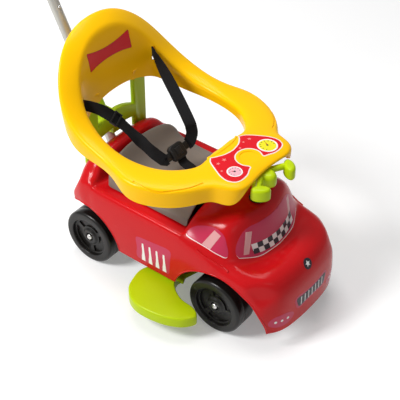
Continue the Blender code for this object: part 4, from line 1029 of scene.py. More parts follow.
def build_body_shell():
    item = walled(subdivided(loose("shell", body_cage()), sizes().smoothness), WALL)
    far = BODY_HALF + FLANK_OUT + 0.02
    cutters = [
        cylinder_mesh(FRONT_ARCH_R, (-far, FRONT_ARCH_Y, FRONT_ARCH_Z),
                      (far, FRONT_ARCH_Y, FRONT_ARCH_Z), 96),
        cylinder_mesh(REAR_ARCH_R, (-far, REAR_Y, WHEEL_R), (far, REAR_Y, WHEEL_R), 96),
        box_mesh((-BIN_HALF - GAP, BIN_FRONT_Y - GAP, PLATEAU_Z - 0.02),
                 (BIN_HALF + GAP, BIN_REAR_Y + GAP, PLATEAU_Z + 0.02)),
        cylinder_mesh(BUSH_R + GAP, (0, FRONT_Y, ROOF_CUT[0]), (0, FRONT_Y, ROOF_CUT[1])),
        cylinder_mesh(TUBE_R + RUNNING, tube_point(TAIL_CUT[0]), tube_point(TAIL_CUT[1])),
        post_mesh(-1, GAP, POST_CUT_Z, POST_TOP_Z),
        post_mesh(1, GAP, POST_CUT_Z, POST_TOP_Z),
    ]
    item = joined(item, merged("cuts", cutters))
    shell = finished("body_shell_moulding", baked(item), "car_body", "shell_red",
                     ["body_shell"], 40)
    post_sockets("post_sockets", "shell_red", (POST_FOOT_Z - SOCKET_WALL, SOCKET_TOP_Z),
                 (POST_FOOT_Z - GAP, SOCKET_TOP_Z + 0.01))
    return shell


def fender_bead(shell):
    """The raised line on both flanks below the side windows."""
    tree = surface_of(shell)
    rods = []
    for side in (-1, 1):
        points = []
        for p in curve_through(BEAD, 40):
            hit = flank_spot(tree, side, p.y, p.z)
            if hit is not None:
                points.append(Vector((hit.x - side * BEAD_R * 0.35, p.y, p.z)))
        rods.append(tube_mesh(points, BEAD_R, 10))
    finished("fender_beads", merged("fender_beads", rods), "car_body", "shell_red")


def arch_lip(shell, name, middle_y, middle_z, radius, from_angle, to_angle):
    """A rolled edge along a wheel arch on both flanks."""
    tree = surface_of(shell)
    steps = 60
    rods = []
    for side in (-1, 1):
        points = []
        for k in range(steps + 1):
            a = radians(from_angle + (to_angle - from_angle) * k / steps)
            y = middle_y + (radius + LIP_OUTSIDE) * cos(a)
            z = middle_z + (radius + LIP_OUTSIDE) * sin(a)
            hit = flank_spot(tree, side, y, z)
            if hit is not None and abs(hit.x) > FLANK_LEAST_X:
                points.append(Vector((hit.x - side * LIP_SUNK, y, z)))
        rods.append(tube_mesh(points, sizes().lip, 12))
    finished(name, merged(name, rods), "car_body", "shell_red")


def seat_cage():
    shares = [-f for f in reversed(SEAT_ACROSS[1:])] + list(SEAT_ACROSS)
    narrow = SEAT_HALF - SEAT_ROUND
    bm = bmesh.new()
    top = []
    for y, heights in SEAT_ROWS:
        swept = SEAT_ROUND if y > SEAT_BACK_Y else 0.0
        levels = list(reversed(heights[1:])) + list(heights)
        top.append([bm.verts.new((f * narrow, y - swept * f * f, z))
                    for f, z in zip(shares, levels)])
    grid_faces(bm, top)
    edge = [row[0] for row in top] + top[-1][1:-1] + [row[-1] for row in reversed(top)]
    above = edge
    for out, share in SEAT_RINGS:
        ring = []
        for k, vert in enumerate(edge):
            along = edge[min(k + 1, len(edge) - 1)].co - edge[max(k - 1, 0)].co
            normal = Vector((-along.y, along.x, 0.0)).normalized()
            back = 0.35 if vert.co.y > SEAT_BACK_Y and abs(normal.y) > 0.5 else 1.0
            ring.append(bm.verts.new((vert.co.x + normal.x * out, vert.co.y + normal.y * out * back,
                                      vert.co.z + (SKIRT_Z - vert.co.z) * share)))
        for k in range(len(edge) - 1):
            bm.faces.new((above[k], above[k + 1], ring[k + 1], ring[k]))
        above = ring
    settle(bm, 1)
    return mesh_from(bm, "seat_lid")


def build_seat():
    item = walled(subdivided(loose("seat", seat_cage()), sizes().smoothness), SEAT_WALL)
    half = STRAP_WIDTH / 2 + STRAP_SLOT_ROOM
    low, high = SEAT_CUT
    item = joined(item, box_mesh((-half, STRAP_SLOT_Y - STRAP_SLOT / 2, low),
                                 (half, STRAP_SLOT_Y + STRAP_SLOT, high)))
    finished("seat_moulding", baked(item), "seat_lid", "seat_grey", ["seat_lid"])


def ring_loop():
    half = [(Vector(a), Vector(b), c, d) for a, b, c, d in RING_STATIONS]
    flip = Vector((-1, 1, 1))
    return half + [(a * flip, b * flip, c, d) for a, b, c, d in half[-2:0:-1]]


def ring_rows():
    rows = []
    for inner, outer, inner_drop, outer_drop in ring_loop():
        across = outer - inner
        out = Vector((across.x, across.y, 0)).normalized()
        lean = BACK_LEAN * max(0.0, out.y) * Vector((0, 1, 0))
        round_by = min(RING_ROUND, across.length * 0.24)
        up = Vector(UPRIGHT)
        rows.append((
            inner - up * inner_drop - lean * inner_drop,
            inner - up * inner_drop * 0.5 - lean * inner_drop * 0.5,
            inner - up * round_by * 0.4,
            inner + out * round_by * 0.7 + up * RING_CROWN * 0.7,
            outer - out * round_by * 0.7 + up * RING_CROWN * 0.7,
            outer - up * round_by * 0.4,
            outer - up * outer_drop - out * 0.003 - lean * outer_drop,
        ))
    return rows


def build_guard_ring():
    bm = bmesh.new()
    rows = [[bm.verts.new(p) for p in row] for row in ring_rows()]
    grid_faces(bm, rows, closed=True)
    item = walled(subdivided(loose("ring", mesh_from(bm, "ring")), sizes().smoothness), RING_WALL)
    cutters = [cylinder_mesh(DISH_R, (0, DISH_Y, DISH_FLOOR_Z), (0, DISH_Y, DISH_TOP_Z), 64)]
    for strap in (RIGHT_STRAP, LEFT_STRAP):
        start, end = Vector(strap[0]), Vector(strap[1])
        turn = (end - start).to_track_quat("Y", "Z").to_matrix().to_4x4()
        where = Matrix.Translation(start * (1 - BACK_SLOT_AT) + end * BACK_SLOT_AT) @ turn
        tall = STRAP_WIDTH / 2 + BACK_SLOT_ROOM
        cutters.append(box_mesh((*BACK_SLOT_LOW, -tall), (*BACK_SLOT_HIGH, tall), where))
    item = joined(item, merged("cuts", cutters))
    tree = BVHTree.FromPolygons([v.co for v in item.data.vertices],
                                [p.vertices for p in item.data.polygons])
    grooves = []
    for side in (-1, 1):
        line = []
        for p in curve_through([(side * x, y, z) for x, y, z in GROOVE], 40):
            hit = top_spot(tree, p.x, p.y)
            line.append((hit or p) + Vector((0, 0, 0.0004)))
        grooves.append(tube_mesh(line, GROOVE_R, 10))
    item = joined(item, merged("grooves", grooves))
    ring = finished("guard_ring_moulding", baked(item), "car_body", "ring_yellow",
                    ["guard_ring"], 42)
    tree = surface_of(ring)
    lip = []
    for p in curve_through(LIP, 40):
        hit = top_spot(tree, p.x, p.y + MIDDLE_Y)
        if hit is not None:
            lip.append(Vector((hit.x, hit.y - MIDDLE_Y, hit.z - LIP_R * 0.45)))
    finished("tray_lip", tube_mesh(lip, LIP_R, 12), "car_body", "ring_yellow")
    outer = (POST_TOP_Z - SOCKET_DEPTH, POST_TOP_Z + SOCKET_WALL)
    post_sockets("ring_sockets", "ring_yellow", outer, (POST_FOOT_Z, POST_TOP_Z + GAP))


# Wheels, steering and footrests

def quarter(radius, height, size, from_angle, to_angle, steps=5):
    """Points of a profile's rounded corner, about its middle."""
    turns = [radians(from_angle + (to_angle - from_angle) * k / steps) for k in range(steps + 1)]
    return [(radius + size * cos(a), height + size * sin(a)) for a in turns]


def wheel_mesh():
    """A turned wheel, its outer face at the top: round the tyre, up the bore, out along the face."""
    half, r = WHEEL_WIDTH / 2, WHEEL_R
    face = half - FACE_DEPTH
    shoulder = quarter(r - TYRE_ROUND, half - TYRE_ROUND, TYRE_ROUND, 90, 0, 10)
    inner_shoulder = quarter(r - INNER_ROUND, INNER_ROUND - half, INNER_ROUND, 0, -90)
    lip = quarter(r - RIM_WIDTH, half - RIM_ROUND, RIM_ROUND, 90, 180)
    seam = [(r, half - 0.012), (r, half - 0.0205), (r - 0.0006, half - 0.0215), (r, half - 0.0225),
            (r, 0.012 - half)]
    back = [(r - 0.009, -half), (r - TYRE_WALL, 0.010 - half), (r - TYRE_WALL, half - WEB_DEPTH),
            (0.0135, half - WEB_DEPTH), (HUB_R, -half)]
    bore = [(AXLE_R + GAP, -half), (AXLE_R + GAP, half - CAP_SEAT),
            (CAP_R + 0.002, half - CAP_SEAT)]
    boss = [(CAP_R + 0.003, half - 0.0050), (CAP_R + 0.0036, half - 0.0045),
            (0.0155, half - 0.0045), (0.0170, half - 0.0052), (0.0190, half - 0.0080)]
    dish = [(0.0200, face), (r - 0.0215, face), (r - 0.0190, half - 0.0075)]
    profile = [(r - RIM_WIDTH, half)] + shoulder + seam + inner_shoulder + back + bore + boss + dish
    return turned_mesh(profile + lip[::-1], 96)


def pocket_mesh(start, span):
    """One pocket of the wheel's face: a ring sector from its floor to above the face."""
    half = WHEEL_WIDTH / 2
    steps = 14
    turns = [start + span * k / steps for k in range(steps + 1)]
    outline = [(POCKET_OUTER * cos(a), POCKET_OUTER * sin(a)) for a in turns]
    outline += [(POCKET_INNER * cos(a), POCKET_INNER * sin(a)) for a in reversed(turns)]
    floor = half - FACE_DEPTH - sizes().pocket_depth
    return prism_mesh(outline, floor, half - 0.004)


def build_wheels():
    plain = loose("wheel", wheel_mesh())
    count = sizes().pocket_count
    span = 2 * pi / count
    pockets = [pocket_mesh(k * span + POCKET_RIB, span - 2 * POCKET_RIB) for k in range(count)]
    base = baked(joined(plain, merged("pockets", pockets)))
    axles = (("front", FRONT_Y, 0.4, "steering"), ("rear", REAR_Y, 1.1, "car_body"))
    for word, y, turn, body in axles:
        for side, hand in ((-1, "right"), (1, "left")):
            mesh = base.copy()
            outward = Matrix.Rotation(side * pi / 2, 4, "Y")
            middle = Matrix.Translation((side * (WHEEL_FACE_X - WHEEL_WIDTH / 2), y, WHEEL_R))
            mesh.transform(middle @ outward @ Matrix.Rotation(turn, 4, "Z"))
            finished(f"{word}_{hand}_wheel_moulding", mesh, f"{word}_wheel_{hand}",
                     "wheel_black", [f"{word}_wheel_{hand}"], 40)
            seat = Matrix.Translation((side * (WHEEL_FACE_X - CAP_SEAT + GAP), y, WHEEL_R))
            finished(f"{word}_{hand}_hub_cap", cap_mesh(seat @ outward), body, "bright_steel",
                     [f"{word}_cap_{hand}"])
    bpy.data.meshes.remove(base)


def cap_mesh(matrix):
    dome = [(CAP_R * sin(a), CAP_LENGTH - CAP_DOME + CAP_DOME * cos(a))
            for a in (radians(9 * k) for k in range(11))]
    skirt = [(CAP_R, 0.0006), (CAP_R + 0.0006, 0.0), (AXLE_R, 0.0), (AXLE_R, 0.002), (0.0, 0.002)]
    return turned_mesh(dome + skirt, 48, matrix)


def oval(centre_x, centre_y, long, short, turn, count=48):
    return [tuple(p) for p in disc(centre_x, centre_y, long, short, count, turn)]


def build_handlebar():
    """Hub, leaf-shaped pad, two bars and two upright grips."""
    item = loose("bar", soft_prism(oval(0, HUB_Y, HUB_HALF, HUB_DEPTH, 0), HUB_BOTTOM_Z,
                                   HUB_NECK_Z + 0.006, HUB_ROUND, 3))
    item = joined(item, soft_prism(oval(0, LEAF_Y, LEAF_HALF, LEAF_DEPTH, 0), HUB_NECK_Z, HUB_TOP_Z,
                                   LEAF_ROUND, 7), "UNION")
    for side in (-1, 1):
        start, end = (side * 0.006, BAR_Y, BAR_Z), (side * GRIP_X, BAR_END_Y, BAR_Z - 0.001)
        bar = cylinder_mesh(BAR_R, start, end, 32)
        grip = soft_prism(oval(side * GRIP_X, GRIP_Y, GRIP_LONG, GRIP_THICK, side * GRIP_SWEEP),
                          GRIP_BOTTOM_Z, GRIP_TOP_Z, GRIP_ROUND, 7)
        item = joined(joined(item, bar, "UNION"), grip, "UNION")
    item = joined(item, cylinder_mesh(COLUMN_R + GAP, (0, FRONT_Y, HUB_BOTTOM_Z - 0.01),
                                      (0, FRONT_Y, COLUMN_TOP_Z + GAP), 48))
    finished("handlebar_moulding", baked(item), "steering", "lime_plastic", ["handlebar"], 50)
    column = cylinder_mesh(COLUMN_R, (0, FRONT_Y, COLUMN_FOOT_Z), (0, FRONT_Y, COLUMN_TOP_Z), 48)
    finished("steering_rod", column, "steering", "bright_steel", ["steering_column"])
    top, seat, foot = BUSH_Z + BUSH_HEIGHT, BUSH_Z + BUSH_SEAT, BUSH_Z - BUSH_DEPTH
    flange = [(BUSH_FLANGE_R - 0.0008, top), (BUSH_FLANGE_R, BUSH_Z + 0.0068),
              (BUSH_FLANGE_R, seat), (BUSH_R, seat), (BUSH_R, foot),
              (COLUMN_R + RUNNING, foot), (COLUMN_R + RUNNING, top)]
    bush = turned_mesh(flange, 48, Matrix.Translation((0, FRONT_Y, 0)))
    finished("steering_bush", bush, "car_body", "frame_black", ["column_bush"])


def petal_points(side, inset=0.0, count=96):
    spine = curve_through([(x, y, 0) for x, y in PETAL_OUTLINE], count, closed=True)
    points = []
    for k, point in enumerate(spine):
        along = (spine[(k + 1) % count] - spine[k - 1]).normalized()
        inner = point + Vector((along.y, -along.x, 0)) * inset
        points.append((side * (PETAL_PIVOT_X - inner.x), PETAL_PIVOT_Y + inner.y))
    return points if side < 0 else list(reversed(points))


def peg_mesh(radius, spot, bottom, top, segments=48):
    return cylinder_mesh(radius, (*spot, bottom), (*spot, top), segments)


def build_footrests():
    low = PETAL_TOP_Z - PETAL_THICK
    inside = PETAL_TOP_Z - PETAL_WALL
    head_top = low + PIVOT_HEAD_THICK + RUNNING
    for side, hand in ((-1, "right"), (1, "left")):
        pivot = (side * PETAL_PIVOT_X, PETAL_PIVOT_Y)
        item = loose("petal", soft_prism(petal_points(side), low, PETAL_TOP_Z, PETAL_ROUND, 5))
        item = joined(item, prism_mesh(petal_points(side, PETAL_WALL), low - 0.01, inside))
        item = joined(item, peg_mesh(PIVOT_BOSS_R, pivot, low, inside + PETAL_WALL / 2), "UNION")
        item = joined(item, peg_mesh(PIVOT_R + RUNNING, pivot, low + 0.002, PETAL_TOP_Z + 0.01, 32))
        item = joined(item, peg_mesh(PIVOT_HEAD_R + RUNNING, pivot, low - 0.01, head_top))
        finished(f"footrest_{hand}_moulding", baked(item), f"footrest_{hand}", "lime_plastic",
                 [f"footrest_{hand}"], 40)


# Back frame, tube and handle

def build_back_frame():
    right, left = (baked(bevelled(loose("post", post_mesh(side, 0.0, POST_FOOT_Z, POST_TOP_Z)),
                                  POST_ROUND, 5)) for side in (-1, 1))
    item = joined(loose("frame", right), left, "UNION")
    reach = POST_X - POST_WIDTH / 2 + 0.008
    steps = 32
    shares = [2 * k / steps - 1 for k in range(steps + 1)]
    top = [(reach * t, BAND_HEIGHT / 2 + BAND_RISE * cos(pi / 2 * t)) for t in shares]
    under = [(x, -BAND_HEIGHT / 2 + (y - BAND_HEIGHT / 2) * BAND_ARCH) for x, y in reversed(top)]
    stand = Matrix.Translation((0, POST_Y, BAND_Z)) @ Matrix.Rotation(pi / 2, 4, "X")
    band = soft_prism(top + under, -BAND_DEPTH / 2, BAND_DEPTH / 2, BAND_ROUND, 4, stand)
    item = joined(item, band, "UNION")
    hub = box_mesh((0.003 - SLEEVE_R, POST_Y - BAND_DEPTH / 2 + 0.001, SLEEVE_FROM_Z + 0.003),
                   (SLEEVE_R - 0.003, tube_point(BAND_Z).y, BAND_Z + BAND_HEIGHT / 2 + 0.004))
    item = joined(item, hub, "UNION")
    sleeve = cylinder_mesh(SLEEVE_R, tube_point(SLEEVE_FROM_Z), tube_point(SLEEVE_TO_Z), 64)
    item = joined(item, sleeve, "UNION")
    item = joined(item, cylinder_mesh(TUBE_R + GAP, tube_point(0.15), tube_point(0.45), 64))
    finished("back_frame_moulding", baked(item), "car_body", "leaf_plastic", ["back_frame"], 40)


def build_push_tube():
    """Two lengths of tube, the upper one's spigot in the lower, with the button's hole in both."""
    lean = Matrix.Rotation(-TUBE_LEAN, 4, "X")
    bore = TUBE_R - TUBE_WALL
    spigot = bore - GAP
    out = Vector((0, -cos(TUBE_LEAN), sin(TUBE_LEAN)))
    centre = tube_point(BUTTON_Z)
    lower = (TUBE_JOINT_Z - TUBE_FOOT_Z) / cos(TUBE_LEAN)
    upper = (TUBE_TOP_Z - TUBE_JOINT_Z) / cos(TUBE_LEAN)
    edge = 0.0004
    mouth = TUBE_R - edge
    sections = (
        ("lower", TUBE_FOOT_Z, [(mouth, lower), (TUBE_R, lower - edge), (TUBE_R, 0.0), (bore, 0.0),
                                (bore, lower)]),
        ("upper", TUBE_JOINT_Z, [(TUBE_R, upper), (TUBE_R, GAP + edge), (mouth, GAP), (spigot, GAP),
                                 (spigot, -SPIGOT_LENGTH), (spigot - TUBE_WALL, -SPIGOT_LENGTH),
                                 (spigot - TUBE_WALL, upper)]),
    )
    for word, foot_z, profile in sections:
        where = Matrix.Translation(tube_point(foot_z)) @ lean
        item = loose("tube", turned_mesh(profile, 64, where))
        item = joined(item, cylinder_mesh(BUTTON_R + RUNNING / 2, centre + out * 0.004,
                                          centre + out * 0.02, 32))
        finished(f"push_tube_{word}", baked(item), "car_body", "tube_lacquer",
                 [f"{word}_push_tube"])


def build_push_handle():
    where = Matrix.Translation(tube_point(TUBE_TOP_Z)) @ Matrix.Rotation(-TUBE_LEAN, 4, "X")
    across = Matrix.Translation((0, 0, HANDLE_DROP)) @ Matrix.Rotation(pi / 2, 4, "Y")
    r, half = HANDLE_R, HANDLE_HALF
    end = quarter(r - HANDLE_ROUND, half - HANDLE_ROUND, HANDLE_ROUND, 90, 0, 6)
    ribs = []
    for k in range(RIB_COUNT):
        z = half - RIB_FROM - k * RIB_STEP
        ribs += [(r, z), (r - RIB, z - RIB), (r - RIB, z - 2 * RIB), (r, z - 3 * RIB)]
    side = [(0.0, half)] + end + ribs
    profile = side + [(a, -b) for a, b in reversed(side)]
    item = loose("handle", turned_mesh(profile, 48, where @ across))
    narrow, foot = HANDLE_NECK_R - 0.002, -HANDLE_NECK_LENGTH
    neck = [(0.0, HANDLE_DROP / 2), (narrow, HANDLE_DROP / 2), (HANDLE_NECK_R, 0.0),
            (HANDLE_NECK_R, foot + 0.002), (narrow, foot), (0.0, foot)]
    item = joined(item, turned_mesh(neck, 64, where), "UNION")
    top, below = where @ Vector((0, 0, GAP)), where @ Vector((0, 0, foot - 0.02))
    item = joined(item, cylinder_mesh(TUBE_R + GAP, top, below, 64))
    finished("push_handle_moulding", baked(item), "car_body", "lime_plastic", ["push_handle"], 50)


# Harness

def ribbon_mesh(points, end, widths, count):
    """A strap with a rounded, slightly thicker selvedge; its grid is kept for the weave."""
    spine = curve_through(points, count - 1) + [Vector(end)]
    upper = [(-x, y) for x, y in STRAP_SECTION[:0:-1]] + list(STRAP_SECTION)
    section = upper + [(x, -y) for x, y in reversed(upper)]
    bm = bmesh.new()
    layer = bm.loops.layers.uv.new("strap")
    rows = []
    length = [0.0]
    for a, b in zip(spine, spine[1:]):
        length.append(length[-1] + (b - a).length)
    for k, point in enumerate(spine):
        along = (spine[min(k + 1, count - 1)] - spine[max(k - 1, 0)]).normalized()
        at = k / (count - 1) * (len(widths) - 1)
        i = min(int(at), len(widths) - 2)
        across = Vector(widths[i]).lerp(Vector(widths[i + 1]), at - i)
        across = (across - along * across.dot(along)).normalized()
        flat = along.cross(across).normalized()
        rows.append([bm.verts.new(point + across * a * STRAP_WIDTH / 2 + flat * b * STRAP_THICK / 2)
                     for a, b in section])
    around = len(section)
    for k, (near, far) in enumerate(zip(rows, rows[1:])):
        for j in range(around):
            n = (j + 1) % around
            face = bm.faces.new((near[j], near[n], far[n], far[j]))
            for loop, (m, s) in zip(face.loops, ((j, k), (n, k), (n, k + 1), (j, k + 1))):
                loop[layer].uv = (section[m][0], length[s])
    bm.faces.new(list(reversed(rows[0])))
    bm.faces.new(rows[-1])
    return mesh_from(bm, "strap")


def buckle_matrix():
    return Matrix.Translation((0, BUCKLE_Y, BUCKLE_Z)) @ Matrix.Rotation(BUCKLE_TILT, 4, "X")


def buckle_point(x, y, z=0.0):
    return buckle_matrix() @ Vector((x, y, z))


def build_straps():
    deep = BUCKLE_LENGTH / 2
    for side, hand, strap, turns in ((-1, "right", RIGHT_STRAP, RIGHT_TURNS),
                                     (1, "left", LEFT_STRAP, LEFT_TURNS)):
        outer = side * (BUCKLE_WIDTH / 2 + GAP + TONGUE_LENGTH + GAP)
        points = [*strap, buckle_point(outer + side * STRAP_LEAD, 0)]
        mesh = ribbon_mesh(points, buckle_point(outer, 0), turns, 90)
        finished(f"shoulder_webbing_{hand}", mesh, "car_body", "strap_webbing",
                 [f"shoulder_strap_{hand}"], 60)
    points = [buckle_point(0, -deep - GAP), buckle_point(0, -deep - 0.010), *CROTCH_STRAP]
    mesh = ribbon_mesh(points, CROTCH_END, ((1, 0, 0), (1, 0, 0)), 48)
    finished("crotch_webbing", mesh, "car_body", "strap_webbing", ["crotch_strap"], 60)


def round_box(low, high, width, matrix=None, segments=4):
    item = bevelled(loose("block", box_mesh(low, high)), width, segments)
    mesh = baked(item)
    if matrix is not None:
        mesh.transform(matrix)
    return mesh


def build_buckle():
    where = buckle_matrix()
    half, deep, thick = BUCKLE_WIDTH / 2, BUCKLE_LENGTH / 2, BUCKLE_THICK / 2
    right = [(half - 0.007, deep), (half, deep - 0.004), (half, 0.004 - deep),
             (half - 0.006, -deep)]
    left = [(-x, y) for x, y in reversed(right)]
    outline = rounded([Vector(p) for p in left[1:] + right + left[:1]], 0.003, 4)
    outline = [tuple(p) for p in reversed(outline)]
    item = loose("buckle", soft_prism(outline, -thick, thick, BUCKLE_ROUND, 5, where))
    room = RUNNING / 2
    wide, long = RELEASE_WIDTH / 2, RELEASE_LENGTH / 2
    item = joined(item, box_mesh((-wide - room, -long - room, 0.0),
                                 (wide + room, long + room, thick + 0.01), where))
    finished("buckle_case", baked(item), "car_body", "buckle_black", ["buckle_body"], 40)
    button = round_box((-wide, -long, RELEASE_TRAVEL + GAP), (wide, long, thick + RELEASE_PROUD),
                       RELEASE_ROUND, where)
    finished("buckle_button", button, "buckle_release", "buckle_black", ["buckle_release"])
    for side, hand in ((-1, "right"), (1, "left")):
        inner, flat = half + GAP, TONGUE_THICK / 2
        low, high = sorted((side * inner, side * (inner + TONGUE_LENGTH)))
        tongue = round_box((low, -TONGUE_HALF, -flat), (high, TONGUE_HALF, flat), TONGUE_ROUND,
                           where)
        finished(f"buckle_tongue_{hand}_moulding", tongue, "car_body", "buckle_black",
                 [f"buckle_tongue_{hand}"])


def build_strap_adjuster():
    """The slide on the near shoulder strap: two bars across it and two rails beside it."""
    spine = curve_through(list(RIGHT_STRAP), 200)
    point = spine[SLIDE_AT]
    along = (spine[SLIDE_AT + 1] - spine[SLIDE_AT - 1]).normalized()
    across = buckle_point(0, 1) - buckle_point(0, 0)
    across = Vector(UPRIGHT).lerp(across, 0.9)
    across = (across - along * across.dot(along)).normalized()
    flat = along.cross(across)
    where = Matrix.Translation(point) @ Matrix((across, along, flat)).transposed().to_4x4()
    wide, long, face = STRAP_WIDTH / 2 + 0.0022, SLIDE_HALF, STRAP_THICK / 2
    bars = []
    for y in (SLIDE_BAR - long, long - SLIDE_BAR):
        low, high = (-wide, y - SLIDE_BAR, face + 0.0001), (wide, y + SLIDE_BAR, face + 0.0030)
        bars.append(round_box(low, high, SLIDE_ROUND, where, 2))
    for x in (SLIDE_RAIL - wide, wide - SLIDE_RAIL):
        low, high = (x - SLIDE_RAIL, -long, -0.0016), (x + SLIDE_RAIL, long, face + 0.0026)
        bars.append(round_box(low, high, SLIDE_ROUND, where, 2))
    finished("strap_slide", merged("slide", bars), "car_body", "buckle_black")


# Stickers

TRAY_STICKER = (
    (0.0, -0.1045), (0.0210, -0.1005), (0.0375, -0.0905), (0.0440, -0.0835), (0.0560, -0.0920),
    (0.0690, -0.1130), (0.0800, -0.1350), (0.0830, -0.1530), (0.0760, -0.1680), (0.0620, -0.1735),
    (0.0440, -0.1725), (0.0320, -0.1675), (0.0220, -0.1640),
)
TRAY_STARS = (
    (-0.052, -0.109, 0.0042), (-0.036, -0.111, 0.0048), (0.012, -0.1125, 0.0034),
    (0.048, -0.108, 0.0044), (0.032, -0.106, 0.0030), (-0.066, -0.128, 0.0030),
)
DISH_EDGE = (0.0265, 0.0255)
DISH_TURNS = (128, 100, 72, 48, 24, 0)
DIALS = ((-1, "pink", 1.0, 125), (1, "lemon", 1.35, 60))
DIAL_MIDDLE = (0.0525, -0.1480)
DIAL_RIM_R = 0.0152
DIAL_R = 0.0128
DIAL_MARK = ((0.0092, -0.00045), (0.0114, -0.00045), (0.0114, 0.00045), (0.0092, 0.00045))
DIAL_BOSS_R = 0.0020
NEEDLE_LENGTH = 0.0085
NEEDLE_HALF = 0.0014
BACK_BAND_HALF = 0.0605
BACK_BAND_TOP = (0.0312, 0.0100)
BACK_BAND_LOW = (0.0093, -0.0066)
SCREEN_BEND = 0.0215
SCREEN_REACH = 0.094
SCREEN_BASE = -0.0265
# Painted reflections on the windscreen: one stripe's outline, and where each stripe stands across
# the screen
SCREEN_GLARE = ((0.0, -0.024), (0.011, -0.024), (0.030, 0.022), (0.017, 0.024))
SCREEN_GLARES = (-0.086, 0.046)
SCREEN_HALF = (
    (0, -0.2245, 0.1662), (0.030, -0.2225, 0.1670), (0.060, -0.2160, 0.1685),
    (0.096, -0.1960, 0.1780), (0.098, -0.190, 0.190), (0.090, -0.188, 0.208),
    (0.075, -0.189, 0.2235), (0.058, -0.1915, 0.2290), (0.036, -0.1965, 0.2282),
    (0.0, -0.199, 0.2264),
)
SIDE_WINDOW = (
    (-0.0885, 0.2020), (-0.0950, 0.2130), (-0.1150, 0.2230), (-0.1420, 0.2280), (-0.1630, 0.2220),
    (-0.1735, 0.2040), (-0.1795, 0.1870), (-0.1765, 0.1825), (-0.1620, 0.1870), (-0.1425, 0.1920),
    (-0.1200, 0.1955), (-0.1000, 0.1980),
)
# A painted reflection: the pale diagonal stripe on each side window
SIDE_GLARE = ((-0.1265, 0.1965), (-0.1460, 0.1930), (-0.1580, 0.2215), (-0.1415, 0.2260))
SIDE_WINDOW_MIDDLE = (-0.13, 0.20)
FLANK_PANEL = (
    (0.0290, 0.1440), (0.0285, 0.0880), (-0.0560, 0.0860), (-0.0625, 0.1500), (-0.0500, 0.1540),
    (-0.0160, 0.1500), (0.0120, 0.1470),
)
FLANK_BAR = ((0.0130, 0.1335), (0.0150, 0.0880), (0.0050, 0.0880), (0.0090, 0.1335))
FLANK_BAR_STEP = 0.0182
FLANK_MIDDLE = (-0.015, 0.11)
GRILLE = ((-0.052, 0.015), (-0.044, -0.010), (0.044, -0.010), (0.052, 0.015))
GRILLE_BAR = ((-0.0012, 0.0125), (-0.0012, -0.0075), (0.0012, -0.0075), (0.0012, 0.0125))
GRILLE_STEP = 0.012
BADGE_R = 0.0115
BADGE_STAR_R = 0.0070
LAMP_PATCH = (0.030, 0.0165)
LAMP_DOT_R = 0.0030
LAMP_DOT_STEP = 0.014


def build_tray_stickers(ring):
    films = Stickers(ring, "yellow_plastic")
    films.plane = Sheet((0, DISH_Y, 0.34), (1, 0, 0), (0, 1, 0))
    side = [Vector((x, y - DISH_Y)) for x, y in TRAY_STICKER]
    wide, tall = DISH_EDGE
    arc = [Vector((wide * sin(a), tall * cos(a))) for a in map(radians, DISH_TURNS)]
    outline = []
    for stretch in (side[0:4], side[3:13], [side[12]] + arc):
        outline += curve_through([p.to_3d() for p in stretch], 8 * (len(stretch) - 1) + 1)[:-1]
    outline = [p.to_2d() for p in outline] + [arc[-1]]
    whole = outline + [Vector((-p.x, p.y)) for p in reversed(outline[1:-1])]
    films.lay("tray_sticker_border", whole, "pale", 1, TRAY_PITCH)
    films.lay("tray_sticker_field", grown(whole, -0.0024), "sticker_red", 2, TRAY_PITCH)
    for hand, colour, big, points_at in DIALS:
        middle = Vector((hand * DIAL_MIDDLE[0], DIAL_MIDDLE[1] - DISH_Y))
        rim = disc(*middle, DIAL_RIM_R * big)
        films.lay(f"tray_dial_rim_{colour}", rim, "white", 3, DIAL_PITCH)
        films.lay(f"tray_dial_{colour}", disc(*middle, DIAL_R * big), colour, 4, DIAL_PITCH)
        for k in range(9):
            a = radians(30 * k - 30)
            mark = [middle + Vector((cos(a) * r + sin(a) * w, sin(a) * r - cos(a) * w)) * big
                    for r, w in DIAL_MARK]
            films.lay(f"tray_dial_mark_{colour}_{k}", mark, "ink", 5)
        a = radians(points_at)
        tip = middle + Vector((cos(a), sin(a))) * NEEDLE_LENGTH * big
        foot = Vector((-sin(a), cos(a))) * NEEDLE_HALF
        films.lay(f"tray_dial_needle_{colour}", [middle + foot, middle - foot, tip], "needle", 5)
        films.lay(f"tray_dial_boss_{colour}", disc(*middle, DIAL_BOSS_R), "ink", 6, DIAL_PITCH)
    for k, (x, y, r) in enumerate(TRAY_STARS):
        films.lay(f"tray_star_{k}", star(x, y - DISH_Y, r, turn=0.3 + k), "blush", 3)


def grown(outline, by):
    """A flat outline moved out by a distance, or in where it is negative."""
    turning = sum(a.x * b.y - b.x * a.y for a, b in zip(outline, outline[1:] + outline[:1]))
    sign = 1.0 if turning > 0 else -1.0
    found = []
    for k, here in enumerate(outline):
        before, after = outline[k - 1], outline[(k + 1) % len(outline)]
        one = (here - before).normalized()
        two = (after - here).normalized()
        out = Vector((one.y + two.y, -one.x - two.x)).normalized() * sign
        found.append(here + out * by)
    return found


def build_backrest_sticker(ring):
    """A curved band with round ends on the backrest's inner face."""
    films = Stickers(ring, "yellow_plastic")
    plane = films.plane = Sheet((0, 0.20, 0.42), (1, 0, 0), (0, 0.17, 0.98))
    plane.normal = -plane.normal if plane.normal.y > 0 else plane.normal
    top, low = [], []
    for k in range(25):
        t = k / 12 - 1
        for edge, (height, bend) in ((top, BACK_BAND_TOP), (low, BACK_BAND_LOW)):
            edge.append(Vector((BACK_BAND_HALF * t, height + bend * t * t)))
    outline = rounded(low + list(reversed(top)), 0.0035, 4)
    films.lay("backrest_band_edge", grown(outline, 0.0008), "deep_red", 1)
    films.lay("backrest_band", outline, "sticker_red", 2)


